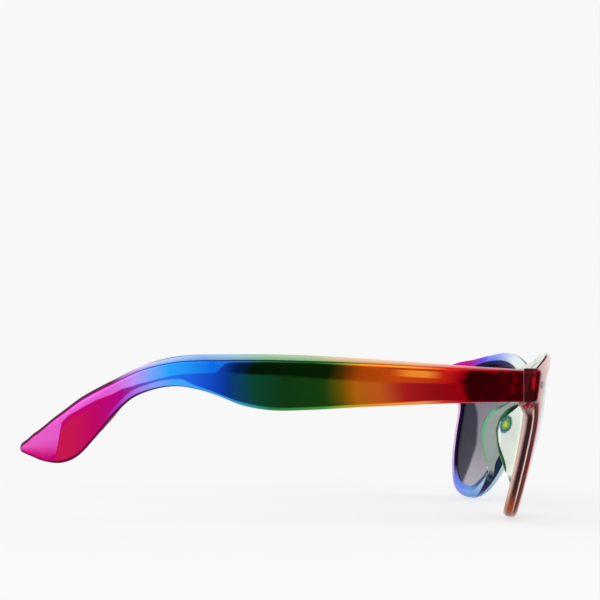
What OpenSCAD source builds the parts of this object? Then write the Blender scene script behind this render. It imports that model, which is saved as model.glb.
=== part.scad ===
// Sunglasses with a one-piece moulded front, mirrored lenses and folding temples.
// X runs to the wearer's left, Y runs back along the temples, Z is up.
// The origin is the middle of the bridge, on its back face, where it sits over the nose.

/* [Lenses] */
// Width of a lens opening
lens_w = 50; // [46:0.5:54]
// Height of a lens opening
lens_h = 42.4; // [40:0.2:44]
// Gap between the two lens openings
bridge_gap = 21.8; // [18:0.2:25]
// Radius of the lens's front surface
lens_radius = 100; // [96:1:112]
// Thickness of a lens
lens_t = 1.8; // [1.6:0.1:2]
// How far the lens's edge goes into the rim
groove_depth = 1; // [0.6:0.1:1.4]
// Room round the lens's edge in its groove
lens_clear = 0.15; // [0.1:0.01:0.2]

/* [Front] */
// Thickness of the front moulding
front_t = 4.3; // [4.1:0.1:4.9]
// Radius of the front's sideways curve
wrap_radius = 205; // [195:5:225]
// Lean of the front, with its foot nearer the face
front_tilt = 6.8; // [3:0.2:9]
// Radius of the front's up-and-down curve
bow_radius = 155; // [147:1:165]
// Height of the brow above the lens
brow_h = 4.4; // [3.8:0.1:5.4]
// Drop from the brow to the top of the bridge
bridge_dip = 4.8; // [3.6:0.1:5.4]
// Height of the bridge at its middle
bridge_h = 8.4; // [7:0.1:9.4]
// Width of the rim on the temple side
rim_side = 4.8; // [4.2:0.1:5.4]
// Width of the rim at its foot
rim_foot = 3.8; // [3.4:0.1:4.8]
// Width of the rim beside the nose
rim_nose = 4.4; // [3.6:0.1:5.4]
// Radius of the rim's outer edges in front
edge_r = 1.1; // [0.6:0.1:1.4]
// Radius of the rim's outer edges at the back
back_r = 1.9; // [1.1:0.1:2.2]
// Radius of the edges round the lens opening
lip_r = 0.3; // [0.2:0.05:0.35]

/* [End pieces] */
// Reach of an end piece past the lens opening
end_reach = 11.8; // [10:0.1:14]
// Drop from the brow to the top of an end piece
end_drop = 5.8; // [4:0.1:7]
// Height of an end piece
end_h = 9.35; // [8.4:0.05:11]
// Depth of an end piece at its top, from face to seam
end_depth = 5.15; // [4.6:0.05:6.5]

/* [Nose pads] */
// Reach of a nose pad behind the front face
pad_reach = 12.2; // [10:0.2:13]
// Spread of a nose pad's back edge away from the nose
pad_flare = 3; // [1.5:0.1:4]
// Thickness of a nose pad
pad_t = 2.2; // [1.8:0.1:2.8]

/* [Temples] */
// Length of a temple from the seam to its tip
temple_len = 142.3; // [132:0.5:152]
// Thickness of a temple at the hinge
temple_t = 4.2; // [3.8:0.1:4.8]
// Thickness of a temple at its tip
tip_t = 2.6; // [2.2:0.1:3.2]
// Height of the sloping shoulder on a temple's top edge
shoulder_h = 1.6; // [1:0.1:2]
// Radius of a temple's lower edges
temple_r = 0.9; // [0.6:0.1:1.1]
// Bend of a temple's tip towards the head
tip_bend = 1; // [0:0.1:2]
// Gap between a temple and its end piece when open
seam_gap = 0.06; // [0.04:0.01:0.15]

/* [Hinges] */
// Radius of a hinge barrel
barrel_r = 1.3; // [1.1:0.05:1.5]
// Distance from the seam back to the hinge's axis
hinge_back = 2.3; // [2:0.1:3]
// Distance from the temple's inner face to the hinge's axis
hinge_in = 1.42; // [1.3:0.02:1.8]
// Height of the whole hinge
hinge_h = 7.4; // [6.4:0.1:8]
// Height of the middle barrel
middle_h = 2.8; // [2.2:0.1:3.2]
// Gap between neighbouring barrels
barrel_gap = 0.06; // [0.04:0.01:0.1]
// Thickness of a hinge leaf
leaf_t = 1; // [0.8:0.1:1.2]
// Length of the temple leaf behind the axis
leaf_len = 12; // [9:0.5:15]
// Length of the front leaf inside the end piece
tongue_len = 3; // [2.4:0.1:3.4]
// Radius of the hinge screw
screw_r = 0.6; // [0.5:0.05:0.7]
// Radius of the hinge screw's head
screw_head_r = 1; // [0.9:0.05:1.1]
// Gap between the screw and the barrel that turns on it
pivot_clear = 0.05; // [0.03:0.01:0.08]
// Gap round a metal piece that is seated in the plastic
seat_clear = 0.05; // [0.03:0.01:0.1]

/* [Studs] */
// Length of a stud
stud_w = 5.2; // [4:0.1:7]
// Height of a stud
stud_h = 2.3; // [1.8:0.1:3]
// How far a stud stands out of the face
stud_proud = 0.45; // [0.2:0.05:0.7]
// Distance from a stud's middle to the end piece's outer face
stud_inset = 6.2; // [5:0.1:8]

/* [Hidden] */

// Lens opening, clockwise from its upper nose side, as shares of its width and height
lens_shape = [
    [0, -0.17], [0.05, -0.05], [0.2, -0.01], [0.44, 0], [0.7, -0.02], [0.905, -0.08],
    [0.99, -0.2], [0.992, -0.4], [0.975, -0.6], [0.915, -0.8], [0.79, -0.95], [0.61, -1],
    [0.425, -0.965], [0.25, -0.83], [0.125, -0.62], [0.04, -0.39]
];
// Brow line, as the share of the lens's width, the drop from the highest point and its place on the lens
brow_shape = [
    [-0.09, -4.05, 1], [0.06, -2.4, 1.5], [0.2, -1.05, 2], [0.4, 0, 2.8],
    [0.62, -0.75, 3.65], [0.8, -1.9, 4.3], [0.98, -3.2, 4.95]
];
// Places on the lens, counted in its outline's points, that the bridge and the end piece are joined to
bridge_top_k = 16.5;
bridge_foot_k = 15.75;
end_top_k = 5.56;
end_foot_k = 6.38;
// Foot of the arch beside the bridge: how far in from the lens and below the bridge it lies
arch_in = 5.7;
arch_drop = 2.4;
arch_k = 15.4;
// Where the brow runs into the top of the end piece, and where the rim leaves its foot
end_run = 5;
end_run_rise = 1.2;
end_foot_run = 3.6;
end_foot_fall = 1.3;
// Radius of the end piece's corners
corner_r = 0.8;
// How far the halves of the front run past the middle, so that they join
half_lap = 0.1;
lens_top = -brow_h;
end_u = bridge_gap / 2 + lens_w + end_reach;
end_foot = -end_drop - end_h;
// Height at which the up-and-down curve starts
bow_start = -11.6;

// Front moulding as a curved plate

function deg(a) = a * 180 / PI;
function clamp01(x) = min(1, max(0, x));
function mix(a, b, x) = a + (b - a) * x;
function tilted(p) = [
    p.x,
    p.y * cos(front_tilt) - p.z * sin(front_tilt),
    p.y * sin(front_tilt) + p.z * cos(front_tilt)
];
function bow(v) = pow(min(0, v - bow_start), 2) / (2 * bow_radius);

// A point of the front: u along the curve, v up, w back from the face
function on_front(u, v, w) =
    let (a = deg(u / wrap_radius), r = wrap_radius - w - bow(v))
    tilted([r * sin(a), wrap_radius - r * cos(a), v]);

// One stretch of a smooth curve through b and c
function smooth(a, b, c, d, t) =
    0.5 * (2 * b + (c - a) * t + (2 * a - 5 * b + 4 * c - d) * t * t + (3 * b - a - 3 * c + d) * t * t * t);
function wrapped(list, i) = list[(i + 4 * len(list)) % len(list)];
function open_at(list, x) =
    let (n = len(list), i = min(n - 2, floor(x)), b = list[i], c = list[i + 1])
    smooth(
        i > 0 ? list[i - 1] : 2 * b - c, b, c,
        i < n - 2 ? list[i + 2] : 2 * c - b, x - i);
// The height of a line through [distance, height] points, at distance y
function span_of(list, y) = max([for (i = [0 : len(list) - 2]) if (list[i][0] <= y || i == 0) i]);
function height_at(list, y) =
    let (i = span_of(list, y))
    open_at(list, i + (y - list[i][0]) / (list[i + 1][0] - list[i][0]))[1];

function lens_edge(k) =
    let (i = floor(k))
    let (p = smooth(
        wrapped(lens_shape, i - 1), wrapped(lens_shape, i),
        wrapped(lens_shape, i + 1), wrapped(lens_shape, i + 2), k - i))
    [bridge_gap / 2 + p[0] * lens_w, lens_top + p[1] * lens_h];
function lens_out(k) =
    let (d = lens_edge(k + 0.02) - lens_edge(k - 0.02))
    [-d[1], d[0]] / norm(d);
function rim_w(k) = lookup(k, [[7, rim_side], [11, rim_foot], [14, rim_nose]]);
function rim_at(k) = let (p = lens_edge(k) + rim_w(k) * lens_out(k)) [p[0], p[1], k];

// Outline of one half of the front, as [u, v, place on the lens]
bridge_top = [-half_lap, -bridge_dip, bridge_top_k - len(lens_shape)];
bridge_foot = [-half_lap, -bridge_dip - bridge_h, bridge_foot_k];
brow_keys = [for (b = brow_shape) [bridge_gap / 2 + b[0] * lens_w, b[1], b[2]]];
// The key across the middle that keeps the bridge level there
function over_middle(key, middle) = [2 * middle[0] - key[0], key[1], 2 * middle[2] - key[2]];
top_keys = concat(
    [over_middle(brow_keys[0], bridge_top), bridge_top],
    brow_keys,
    [
        [end_u - end_run, -end_drop + end_run_rise, end_top_k - 0.2],
        [end_u - corner_r, -end_drop + 0.3 * corner_r, end_top_k]
    ]);
end_line = [
    [end_u - 0.25 * corner_r, -end_drop - 0.3 * corner_r, end_top_k + 0.05],
    [end_u, -end_drop - corner_r, end_top_k + 0.12],
    [end_u, -end_drop - end_h / 2, (end_top_k + end_foot_k) / 2],
    [end_u, end_foot + corner_r, end_foot_k - 0.12],
    [end_u - 0.25 * corner_r, end_foot + 0.3 * corner_r, end_foot_k - 0.05]
];
arch_key = [bridge_gap / 2 - arch_in, -bridge_dip - bridge_h - arch_drop, arch_k];
foot_keys = concat(
    [
        [end_u - corner_r, end_foot, end_foot_k],
        [end_u - end_foot_run, end_foot - end_foot_fall, end_foot_k + 0.2]
    ],
    [for (k = [7 : 15]) rim_at(k)],
    [arch_key, bridge_foot, over_middle(arch_key, bridge_foot)]);
key_step = 1 / 3;
top_line = [for (i = [1 : key_step : len(top_keys) - 1.01]) open_at(top_keys, i)];
foot_line = [for (i = [0 : key_step : len(foot_keys) - 1.99]) open_at(foot_keys, min(i, len(foot_keys) - 2))];
free_line = concat(top_line, [top_keys[len(top_keys) - 1]], end_line, foot_line);
middle_steps = 7;
middle_line = [
    for (i = [1 : middle_steps - 1])
        let (t = (1 - cos(180 * i / middle_steps)) / 2)
        [-half_lap, -bridge_dip - bridge_h * (1 - t), mix(bridge_foot_k, bridge_top_k, t)]
];
spokes = concat(free_line, middle_line);

// How far a point lies from the free outline
function to_segment(p, a, b) =
    let (ab = b - a, t = clamp01((p - a) * ab / (ab * ab)))
    norm(p - a - t * ab);
function flat(p) = [p[0], p[1]];
function to_outline(p) =
    min([for (i = [0 : len(free_line) - 2]) to_segment(p, flat(free_line[i]), flat(free_line[i + 1]))]);
function rounding(d, r) = d >= r ? 0 : r - sqrt(r * r - pow(r - d, 2));

// Lens surface: both faces are parts of spheres with one centre
lens_u = bridge_gap / 2 + lens_w / 2;
lens_turn = deg(lens_u / wrap_radius);
// Height of the lens's crown, and how far it lies behind the front's face
lens_crown_v = bow_start - 3.4;
lens_sink = 0.15;
lens_axis_r = wrap_radius - lens_sink - lens_radius;
function lens_ring_r(p, depth) =
    let (a = deg(p[0] / wrap_radius) - lens_turn)
    lens_axis_r * cos(a)
        + sqrt(pow(lens_radius - depth, 2) - pow(p[1] - lens_crown_v, 2) - pow(lens_axis_r * sin(a), 2));
function lens_w_at(p, depth) = wrap_radius - lens_ring_r(p, depth) - bow(p[1]);

// The end piece is deeper: its back is the upright seam face
seam_y = on_front(end_u, -end_drop, 0).y + end_depth;
side_x = on_front(end_u, -end_drop, 0).x;
end_block = 13.2;
block_ease = 4;
// Share of the back edge's rounding that is left at the seam
seam_edge = 0.14;
function end_share(p) =
    clamp01((p[0] - end_u + end_block) / block_ease) * clamp01((p[1] - end_foot + 0.5) / block_ease + 1);
function front_point(p, edge) =
    mix(on_front(p[0], p[1], edge), on_front(p[0], p[1], 0) + [0, edge, 0], end_share(p));
function back_point(p, edge) =
    let (f = on_front(p[0], p[1], 0))
    mix(on_front(p[0], p[1], front_t - edge), [f.x, seam_y - seam_edge * edge, f.z], end_share(p));

// Distances from the lens opening at which a rim of this reach and edge radius gets its points
function rim_steps(reach, r) =
    let (inner = lip_r + 0.02, outer = reach - r)
    [
        0, 0.3 * lip_r, inner, mix(inner, outer, 1 / 3), mix(inner, outer, 2 / 3),
        outer, reach - 0.4 * r, reach - 0.1 * r, reach
    ];
function fall_at(q, p, r) = max(rounding(q, lip_r), rounding(to_outline(p), r));

// One cross-section of the rim, from the lens opening out to the outline and back
function spoke_section(spoke) =
    let (
        k = spoke[2],
        a = lens_edge(k),
        b = flat(spoke),
        reach = norm(b - a),
        along = (b - a) / reach,
        front_steps = rim_steps(reach, edge_r),
        back_steps = rim_steps(reach, back_r),
        last = len(front_steps) - 1,
        floor_p = a + groove_depth * lens_out(k)
    )
    concat(
        [
            for (i = [0 : last])
                let (q = front_steps[i], p = a + q * along)
                front_point(p, fall_at(q, p, edge_r))
        ],
        [
            for (i = [last : -1 : 0])
                let (q = back_steps[i], p = a + q * along)
                back_point(p, fall_at(q, p, back_r))
        ],
        [
            on_front(a[0], a[1], lens_w_at(a, lens_t + lens_clear)),
            on_front(floor_p[0], floor_p[1], lens_w_at(floor_p, lens_t + lens_clear)),
            on_front(floor_p[0], floor_p[1], lens_w_at(floor_p, -lens_clear)),
            on_front(a[0], a[1], lens_w_at(a, -lens_clear))
        ]);

// Side faces between rings of points that all have the same count
function ring_faces(rings, count, closed) = [
    for (i = [0 : rings - (closed ? 1 : 2)], j = [0 : count - 1])
        let (n = (i + 1) % rings, m = (j + 1) % count)
        each [
            [i * count + j, i * count + m, n * count + m],
            [i * count + j, n * count + m, n * count + j]
        ]
];

module half_front() {
    sections = [for (i = [0 : len(spokes) - 1]) spoke_section(spokes[i])];
    polyhedron(
        points = [for (section = sections) each section],
        faces = ring_faces(len(sections), len(sections[0]), true));
}

// Nose pads: a fin along the back of the rim beside the nose

pad_steps = 12;
// Places on the lens where the pad starts and ends
pad_top_k = 15.6;
pad_foot_k = 13.1;
// Thickness of the pad where it runs out into the rim
pad_root_t = 1.2;
// How deep the pad's root lies in the rim
pad_root = 2.4;
// How far the pad stands back, as shares of its height and of its reach
pad_shape = [
    [0, 0.1], [0.09, 0.6], [0.21, 0.91], [0.36, 1], [0.49, 0.9],
    [0.62, 0.74], [0.75, 0.48], [0.88, 0.24], [1, 0.02]
];
function pad_slice(t) =
    let (
        k = mix(pad_top_k, pad_foot_k, t),
        edge = lens_edge(k) + rim_w(14) * lens_out(k),
        swell = height_at(pad_shape, t),
        reach = mix(front_t, pad_reach, swell),
        spread = pad_flare * swell,
        thick = mix(pad_root_t, pad_t, swell)
    )
    [
        on_front(edge[0] + 0.5, edge[1], front_t - pad_root),
        on_front(edge[0] + 0.15 + 0.1 * spread, edge[1], front_t - 0.6),
        on_front(edge[0] + 0.15 + 0.45 * spread, edge[1], mix(front_t, reach, 0.5)),
        on_front(edge[0] + 0.15 + 0.9 * spread, edge[1], reach - 0.35 * thick),
        on_front(edge[0] + 0.15 + spread + 0.3 * thick, edge[1], reach),
        on_front(edge[0] + 0.15 + spread + 0.75 * thick, edge[1], reach - 0.12 * thick),
        on_front(edge[0] + 0.15 + spread + thick, edge[1], reach - 0.5 * thick),
        on_front(edge[0] + 0.15 + 0.5 * spread + thick, edge[1], mix(front_t, reach, 0.45)),
        on_front(edge[0] + 0.5 + thick, edge[1], front_t - 0.8),
        on_front(edge[0] + 0.5 + thick, edge[1], front_t - pad_root)
    ];

// The solid between two neighbouring sections
module slab(section_a, section_b) {
    n = len(section_a);
    hull()
        polyhedron(
            points = concat(section_a, section_b),
            faces = concat(
                ring_faces(2, n, false),
                [[for (j = [n - 1 : -1 : 0]) j], [for (j = [0 : n - 1]) j + n]]));
}

module nose_pad() {
    for (i = [0 : pad_steps - 1])
        slab(pad_slice(i / pad_steps), pad_slice((i + 1) / pad_steps));
}

// Hinge, round the upright axis behind each end piece

hinge_x = side_x - temple_t - hinge_in;
hinge_y = seam_y + hinge_back;
hinge_mid = on_front(end_u, -end_drop - end_h / 2, 0).z;
hinge_foot = hinge_mid - hinge_h / 2;
middle_foot = hinge_mid - middle_h / 2;
side_barrel_h = (hinge_h - middle_h) / 2 - barrel_gap;
arm_h = middle_h - 2 * barrel_gap;
tooth = 0.8;
tooth_depth = 0.25;
head_h = 0.7;
slot_w = 0.28;
slot_depth = 0.3;
screw_seat = 0.02;
// The temple leaf: how far inside the temple it lies, where it starts behind the axis, and its ridge
leaf_in = hinge_in - 0.6;
leaf_start = barrel_r + 0.3;
ridge_t = 1.1;
ridge_h = 3.4;
ridge_lap = 0.1;
ridge_start = barrel_r + 1.6;
arm_t = 0.7 * leaf_t;

module at_hinge() {
    translate([hinge_x, hinge_y, 0])
        children();
}

// A bar with saw teeth on both edges, along Y, with room added all round
module toothed_bar(start, length, height, thick, room) {
    count = floor(length / tooth);
    up = concat(
        [for (i = [0 : count - 1]) each [[start + i * tooth, -tooth_depth], [start + (i + 0.7) * tooth, 0]]],
        [[start + length, -tooth_depth]]);
    outline = concat(
        [for (p = up) [p[0], height / 2 + p[1]]],
        [for (i = [len(up) - 1 : -1 : 0]) [up[i][0], -height / 2 - up[i][1]]]);
    rotate([90, 0, 90])
        linear_extrude(thick, center = true)
            if (room > 0)
                translate([start - room, -height / 2 - room])
                    square([length + 2 * room, height + 2 * room]);
            else
                polygon(outline);
}

// The part of the front leaf that is sunk in the end piece
module front_tongue(room) {
    translate([0, -hinge_back - tongue_len, hinge_mid])
        toothed_bar(0, tongue_len + (room > 0 ? 1 : 0.5), hinge_h - leaf_t, leaf_t + 2 * room, room);
}

module front_leaf() {
    difference() {
        union() {
            front_tongue(0);
            for (z = [hinge_foot, middle_foot + middle_h + barrel_gap]) {
                translate([0, 0, z])
                    cylinder(r = barrel_r, h = side_barrel_h, $fn = 48);
                translate([-leaf_t / 2, -hinge_back + seat_clear, z])
                    cube([leaf_t, hinge_back - seat_clear, side_barrel_h]);
            }
        }
        translate([0, 0, hinge_foot - 1])
            cylinder(r = screw_r + screw_seat, h = hinge_h + 2, $fn = 32);
        translate([0, 0, hinge_foot + hinge_h - head_h])
            cylinder(r = screw_head_r + seat_clear, h = head_h + 1, $fn = 32);
    }
}

// The part of the temple leaf that is sunk in the temple
module temple_anchor(room) {
    translate([leaf_in, leaf_start - room, hinge_foot + 0.2 - room])
        cube([leaf_t + room, leaf_len - leaf_start + 2 * room, hinge_h - 0.4 + 2 * room]);
    translate([leaf_in + leaf_t + ridge_t / 2 - ridge_lap, 0, hinge_mid])
        toothed_bar(ridge_start, leaf_len - ridge_start - tooth, ridge_h, ridge_t + 2 * room, room);
    translate([leaf_in, -0.2 - room, hinge_mid - arm_h / 2 - room])
        cube([arm_t + room, barrel_r + 1.2 + 2 * room, arm_h + 2 * room]);
}

module temple_leaf() {
    difference() {
        union() {
            temple_anchor(0);
            translate([0, 0, middle_foot])
                cylinder(r = barrel_r, h = middle_h, $fn = 48);
        }
        translate([0, 0, middle_foot - 1])
            cylinder(r = screw_r + pivot_clear, h = middle_h + 2, $fn = 32);
    }
}

module hinge_screw() {
    difference() {
        union() {
            translate([0, 0, hinge_foot + 0.1])
                cylinder(r = screw_r, h = hinge_h - head_h, $fn = 32);
            translate([0, 0, hinge_foot + hinge_h - head_h + screw_seat])
                cylinder(r = screw_head_r, h = head_h - 0.1, $fn = 32);
        }
        translate([-screw_head_r - 1, -slot_w / 2, hinge_foot + hinge_h - 0.12 - slot_depth])
            cube([2 * screw_head_r + 2, slot_w, 1]);
    }
}

// Studs on the face of the end pieces

stud_sink = 0.5;
stud_pin_r = 0.6;
stud_pin_len = 2.4;
stud_step = 0.22;
stud_u = end_u - stud_inset;
stud_v = -end_drop - 0.46 * end_h;

module stud_outline(room) {
    arc_r = (pow(stud_w / 2, 2) + pow(stud_h / 2, 2)) / stud_h;
    intersection() {
        translate([0, arc_r - stud_h / 2])
            circle(arc_r + room, $fn = 96);
        translate([0, stud_h / 2 - arc_r])
            circle(arc_r + room, $fn = 96);
    }
}

// Puts a piece on the face of the front, its Z pointing out of the face
module on_face(u, v) {
    rotate([front_tilt, 0, 0])
        translate([0, wrap_radius, 0])
            rotate([0, 0, deg(u / wrap_radius)])
                translate([0, bow(v) - wrap_radius, v])
                    rotate([90, 0, 0])
                        children();
}

module stud_shape(room) {
    translate([0, 0, -stud_sink - room])
        linear_extrude(stud_sink + stud_proud * 0.55 + room)
            stud_outline(room);
    translate([0, 0, -stud_sink - stud_pin_len - room])
        cylinder(r = stud_pin_r + room, h = stud_pin_len + room + 0.1, $fn = 24);
}

module stud() {
    on_face(stud_u, stud_v) {
        stud_shape(0);
        translate([0, 0, stud_proud * 0.5])
            linear_extrude(stud_proud * 0.5)
                stud_outline(-stud_step);
    }
}

// Lens, cut from two spheres with one centre

// How far in front of the face and how deep the blank reaches that the outline is cut from
blank_front = 10;
blank_depth = 40;

module lens() {
    outline = [
        for (i = [0 : len(spokes) - 1])
            let (
                k = spokes[i][2],
                p = lens_edge(k) + (groove_depth - lens_clear) * lens_out(k),
                r = lens_ring_r(p, lens_t / 2)
            )
            [r * sin(deg(p[0] / wrap_radius) - lens_turn), p[1]]
    ];
    rotate([front_tilt, 0, 0])
        translate([0, wrap_radius, 0])
            rotate([0, 0, lens_turn])
                intersection() {
                    translate([0, -wrap_radius - blank_front, 0])
                        rotate([90, 0, 0])
                            translate([0, 0, -blank_depth])
                                linear_extrude(blank_depth)
                                    polygon(outline);
                    translate([0, -lens_axis_r, lens_crown_v])
                        difference() {
                            sphere(lens_radius, $fn = 200);
                            sphere(lens_radius - lens_t, $fn = 200);
                        }
                }
}

// Temple, from upright cross-sections along its length

// Top and bottom lines, as [distance from the seam, height against the brow]
temple_top = [
    [0, -4.5], [20, -3], [45, -1.15], [68, 0], [90, 0], [99, -0.8], [108, -3.1], [116, -7],
    [125, -11.8], [133, -17.7], [139, -22.4], [141.5, -24.5], [142.05, -25.1], [142.3, -25.9]
];
temple_foot = [
    [0, -13.8], [20, -14], [45, -14.9], [63, -15.8], [72, -15.8], [80, -14.4], [88, -11.3],
    [94, -9.6], [99, -9], [105, -9.9], [111, -12.4], [116, -17.2], [122, -24.2], [126.5, -28.8],
    [131, -30.5], [136, -29.9], [140.5, -28.1], [141.6, -27.55], [142.1, -27.1], [142.3, -26.5]
];
drawn_len = temple_top[len(temple_top) - 1][0];
end_z = on_front(end_u, -end_drop, 0).z;
end_foot_z = on_front(end_u, end_foot, 0).z;
// Share by which the temple's lines are eased to meet the end piece, over this length
ease_len = 40;
function ease_in(y) = pow(clamp01(1 - y / ease_len), 2);
function temple_top_z(y) = height_at(temple_top, y) + ease_in(y) * (end_z - temple_top[0][1]);
function temple_foot_z(y) = height_at(temple_foot, y) + ease_in(y) * (end_foot_z - temple_foot[0][1]);
function shoulder(y) =
    shoulder_h * lookup(y, [[0, 0.25], [30, 0.6], [63, 1], [88, 1], [110, 0.6], [142, 0.35]]);
function thickness(y) =
    lookup(y, [[0, temple_t], [22, temple_t], [80, mix(temple_t, tip_t, 0.5)], [118, tip_t]]);
// Where the temple starts to curve down and to bend inwards
drop_start = 92;
function bend(y) = tip_bend * pow(clamp01((y - drop_start) / (drawn_len - drop_start)), 1.6);
// Where cross-sections lie: wide apart on the straight part, close on the curved part and closest at the tip
curve_start = 60;
tip_part = 5.5;
// Length over which the tip's faces close in
tip_round = 4;
temple_stations = concat(
    [for (i = [0 : 7]) i / 7.5 * curve_start],
    [for (i = [0 : 24]) mix(curve_start, drawn_len - tip_part, i / 24)],
    [for (q = [0.26, 0.5, 0.7, 0.84, 0.92, 0.97, 1]) drawn_len - tip_part * (1 - q)]);

function temple_section(y) =
    let (
        top = temple_top_z(y),
        foot = temple_foot_z(y),
        h = top - foot,
        end_near = clamp01((drawn_len - y) / tip_round),
        full = sqrt(1 - pow(1 - end_near, 2)),
        t = thickness(y) * mix(0.45, 1, full),
        sh = min(shoulder(y), 0.3 * h),
        sx = min(1.1 * sh, 0.4 * t),
        r = min(temple_r, 0.25 * h, 0.3 * t),
        mid = (top - sh + foot + r) / 2,
        x = side_x - bend(y) - 0.5 * (thickness(y) - t),
        len_share = temple_len / drawn_len
    )
    [
        for (p = [
            [0, foot + r], [0, mid], [0, top - sh], [-0.35 * sx, top - 0.42 * sh], [-sx, top],
            [-t + r, top], [-t + 0.3 * r, top - 0.3 * r], [-t, top - r], [-t, mid], [-t, foot + r],
            [-t + 0.3 * r, foot + 0.3 * r], [-t + r, foot], [-r, foot], [-0.3 * r, foot + 0.3 * r]
        ])
            [x + p[0], seam_y + seam_gap + y * len_share, p[1]]
    ];

module temple_blade() {
    for (i = [0 : len(temple_stations) - 2])
        slab(temple_section(temple_stations[i]), temple_section(temple_stations[i + 1]));
}

module temple() {
    difference() {
        temple_blade();
        at_hinge()
            temple_anchor(seat_clear);
    }
}

// The origin is on the back of the bridge, at its middle
origin = on_front(0, -bridge_dip - bridge_h / 2, front_t);

module placed(side) {
    mirror([side < 0 ? 1 : 0, 0, 0])
        translate([0, -origin.y, -origin.z])
            children();
}

module front_frame() {
    color([0.72, 0.1, 0.16])
        translate([0, -origin.y, -origin.z])
            difference() {
                union()
                    for (side = [0, 1])
                        mirror([side, 0, 0]) {
                            half_front();
                            nose_pad();
                        }
                for (side = [0, 1])
                    mirror([side, 0, 0]) {
                        at_hinge()
                            front_tongue(seat_clear);
                        on_face(stud_u, stud_v)
                            stud_shape(seat_clear);
                    }
            }
}

module lens_piece(side) {
    color([0.35, 0.38, 0.45])
        placed(side)
            lens();
}

module temple_piece(side) {
    color([0.08, 0.35, 0.3])
        placed(side)
            temple();
}

module front_leaf_piece(side) {
    color("silver")
        placed(side)
            at_hinge()
                front_leaf();
}

module temple_leaf_piece(side) {
    color("gainsboro")
        placed(side)
            at_hinge()
                temple_leaf();
}

module hinge_screw_piece(side) {
    color("gold")
        placed(side)
            at_hinge()
                hinge_screw();
}

module stud_piece(side) {
    color("whitesmoke")
        placed(side)
            stud();
}

front_frame();
lens_piece(-1);  // right_lens
lens_piece(1);  // left_lens
temple_piece(-1);  // right_temple
temple_piece(1);  // left_temple
front_leaf_piece(-1);  // right_front_leaf
front_leaf_piece(1);  // left_front_leaf
temple_leaf_piece(-1);  // right_temple_leaf
temple_leaf_piece(1);  // left_temple_leaf
hinge_screw_piece(-1);  // right_hinge_screw
hinge_screw_piece(1);  // left_hinge_screw
stud_piece(-1);  // right_stud
stud_piece(1);  // left_stud
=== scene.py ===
"""Mirrored sunglasses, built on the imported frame.

Smooth mouldings with an iridescent coating, curved lenses, studs, hinges and the studio round them.
"""

import logging
import math
from dataclasses import dataclass
from enum import Enum
from typing import Callable, Sequence

import bmesh
import bpy
import numpy as np
from mathutils import Matrix, Vector

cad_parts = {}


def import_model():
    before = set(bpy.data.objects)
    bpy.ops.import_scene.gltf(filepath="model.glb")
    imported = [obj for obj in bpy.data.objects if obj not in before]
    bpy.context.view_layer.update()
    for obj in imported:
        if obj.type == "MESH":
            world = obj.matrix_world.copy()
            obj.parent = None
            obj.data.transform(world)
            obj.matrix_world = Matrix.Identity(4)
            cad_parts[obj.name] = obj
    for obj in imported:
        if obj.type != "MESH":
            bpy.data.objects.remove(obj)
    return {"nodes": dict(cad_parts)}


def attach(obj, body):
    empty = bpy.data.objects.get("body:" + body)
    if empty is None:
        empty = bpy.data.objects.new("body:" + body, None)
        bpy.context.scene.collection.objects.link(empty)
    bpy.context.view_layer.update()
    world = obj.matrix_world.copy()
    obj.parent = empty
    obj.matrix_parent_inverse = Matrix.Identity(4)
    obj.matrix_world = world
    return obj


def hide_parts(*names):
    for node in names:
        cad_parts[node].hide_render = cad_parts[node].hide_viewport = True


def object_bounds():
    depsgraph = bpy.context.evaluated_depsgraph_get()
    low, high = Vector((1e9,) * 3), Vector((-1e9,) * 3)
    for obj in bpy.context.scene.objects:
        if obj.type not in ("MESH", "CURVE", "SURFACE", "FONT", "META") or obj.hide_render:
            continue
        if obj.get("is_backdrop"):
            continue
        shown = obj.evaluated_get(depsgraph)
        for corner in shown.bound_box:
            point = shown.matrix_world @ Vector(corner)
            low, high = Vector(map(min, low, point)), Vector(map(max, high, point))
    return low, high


log = logging.getLogger("sunglasses")
MM = 0.001
Rgb = tuple[float, float, float]
Key = tuple[float, ...]
Reach = tuple[float, float]
Stops = tuple[tuple[float, Rgb], ...]
Levels = tuple[tuple[float, float], ...]
Socket = bpy.types.NodeSocket
Material = bpy.types.Material
Piece = bpy.types.Object


class Side(Enum):
    """Side of the wearer, as the sign of X."""

    RIGHT = -1
    LEFT = 1

    @property
    def word(self) -> str:
        """Name used in node names."""
        return self.name.lower()


class Skin(Enum):
    """Kind of surface on the front moulding, as its material slot number."""

    COATED = 0
    CLEAR = 1
    PAD = 2
    NOSE = 3
    END = 4
    INNER = 5


def smooth_key(a: np.ndarray, b: np.ndarray, c: np.ndarray, d: np.ndarray, t: float) -> np.ndarray:
    """Finds a point of the smooth curve from b to c.

    Args:
        a: Key before the stretch.
        b: Key at its start.
        c: Key at its end.
        d: Key after it.
        t: Share of the stretch.

    Returns:
        The point.
    """
    return 0.5 * (
        2 * b + (c - a) * t + (2 * a - 5 * b + 4 * c - d) * t**2 + (3 * b - a - 3 * c + d) * t**3
    )


def open_at(keys: np.ndarray, x: float) -> np.ndarray:
    """Finds a point of an open smooth curve through keys.

    Args:
        keys: One key a row.
        x: Key number, with the share of the way to the next key.

    Returns:
        The point.
    """
    n = len(keys)
    i = max(0, min(n - 2, math.floor(x)))
    b, c = keys[i], keys[i + 1]
    a = keys[i - 1] if i > 0 else 2 * b - c
    d = keys[i + 2] if i < n - 2 else 2 * c - b
    return smooth_key(a, b, c, d, x - i)


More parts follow.
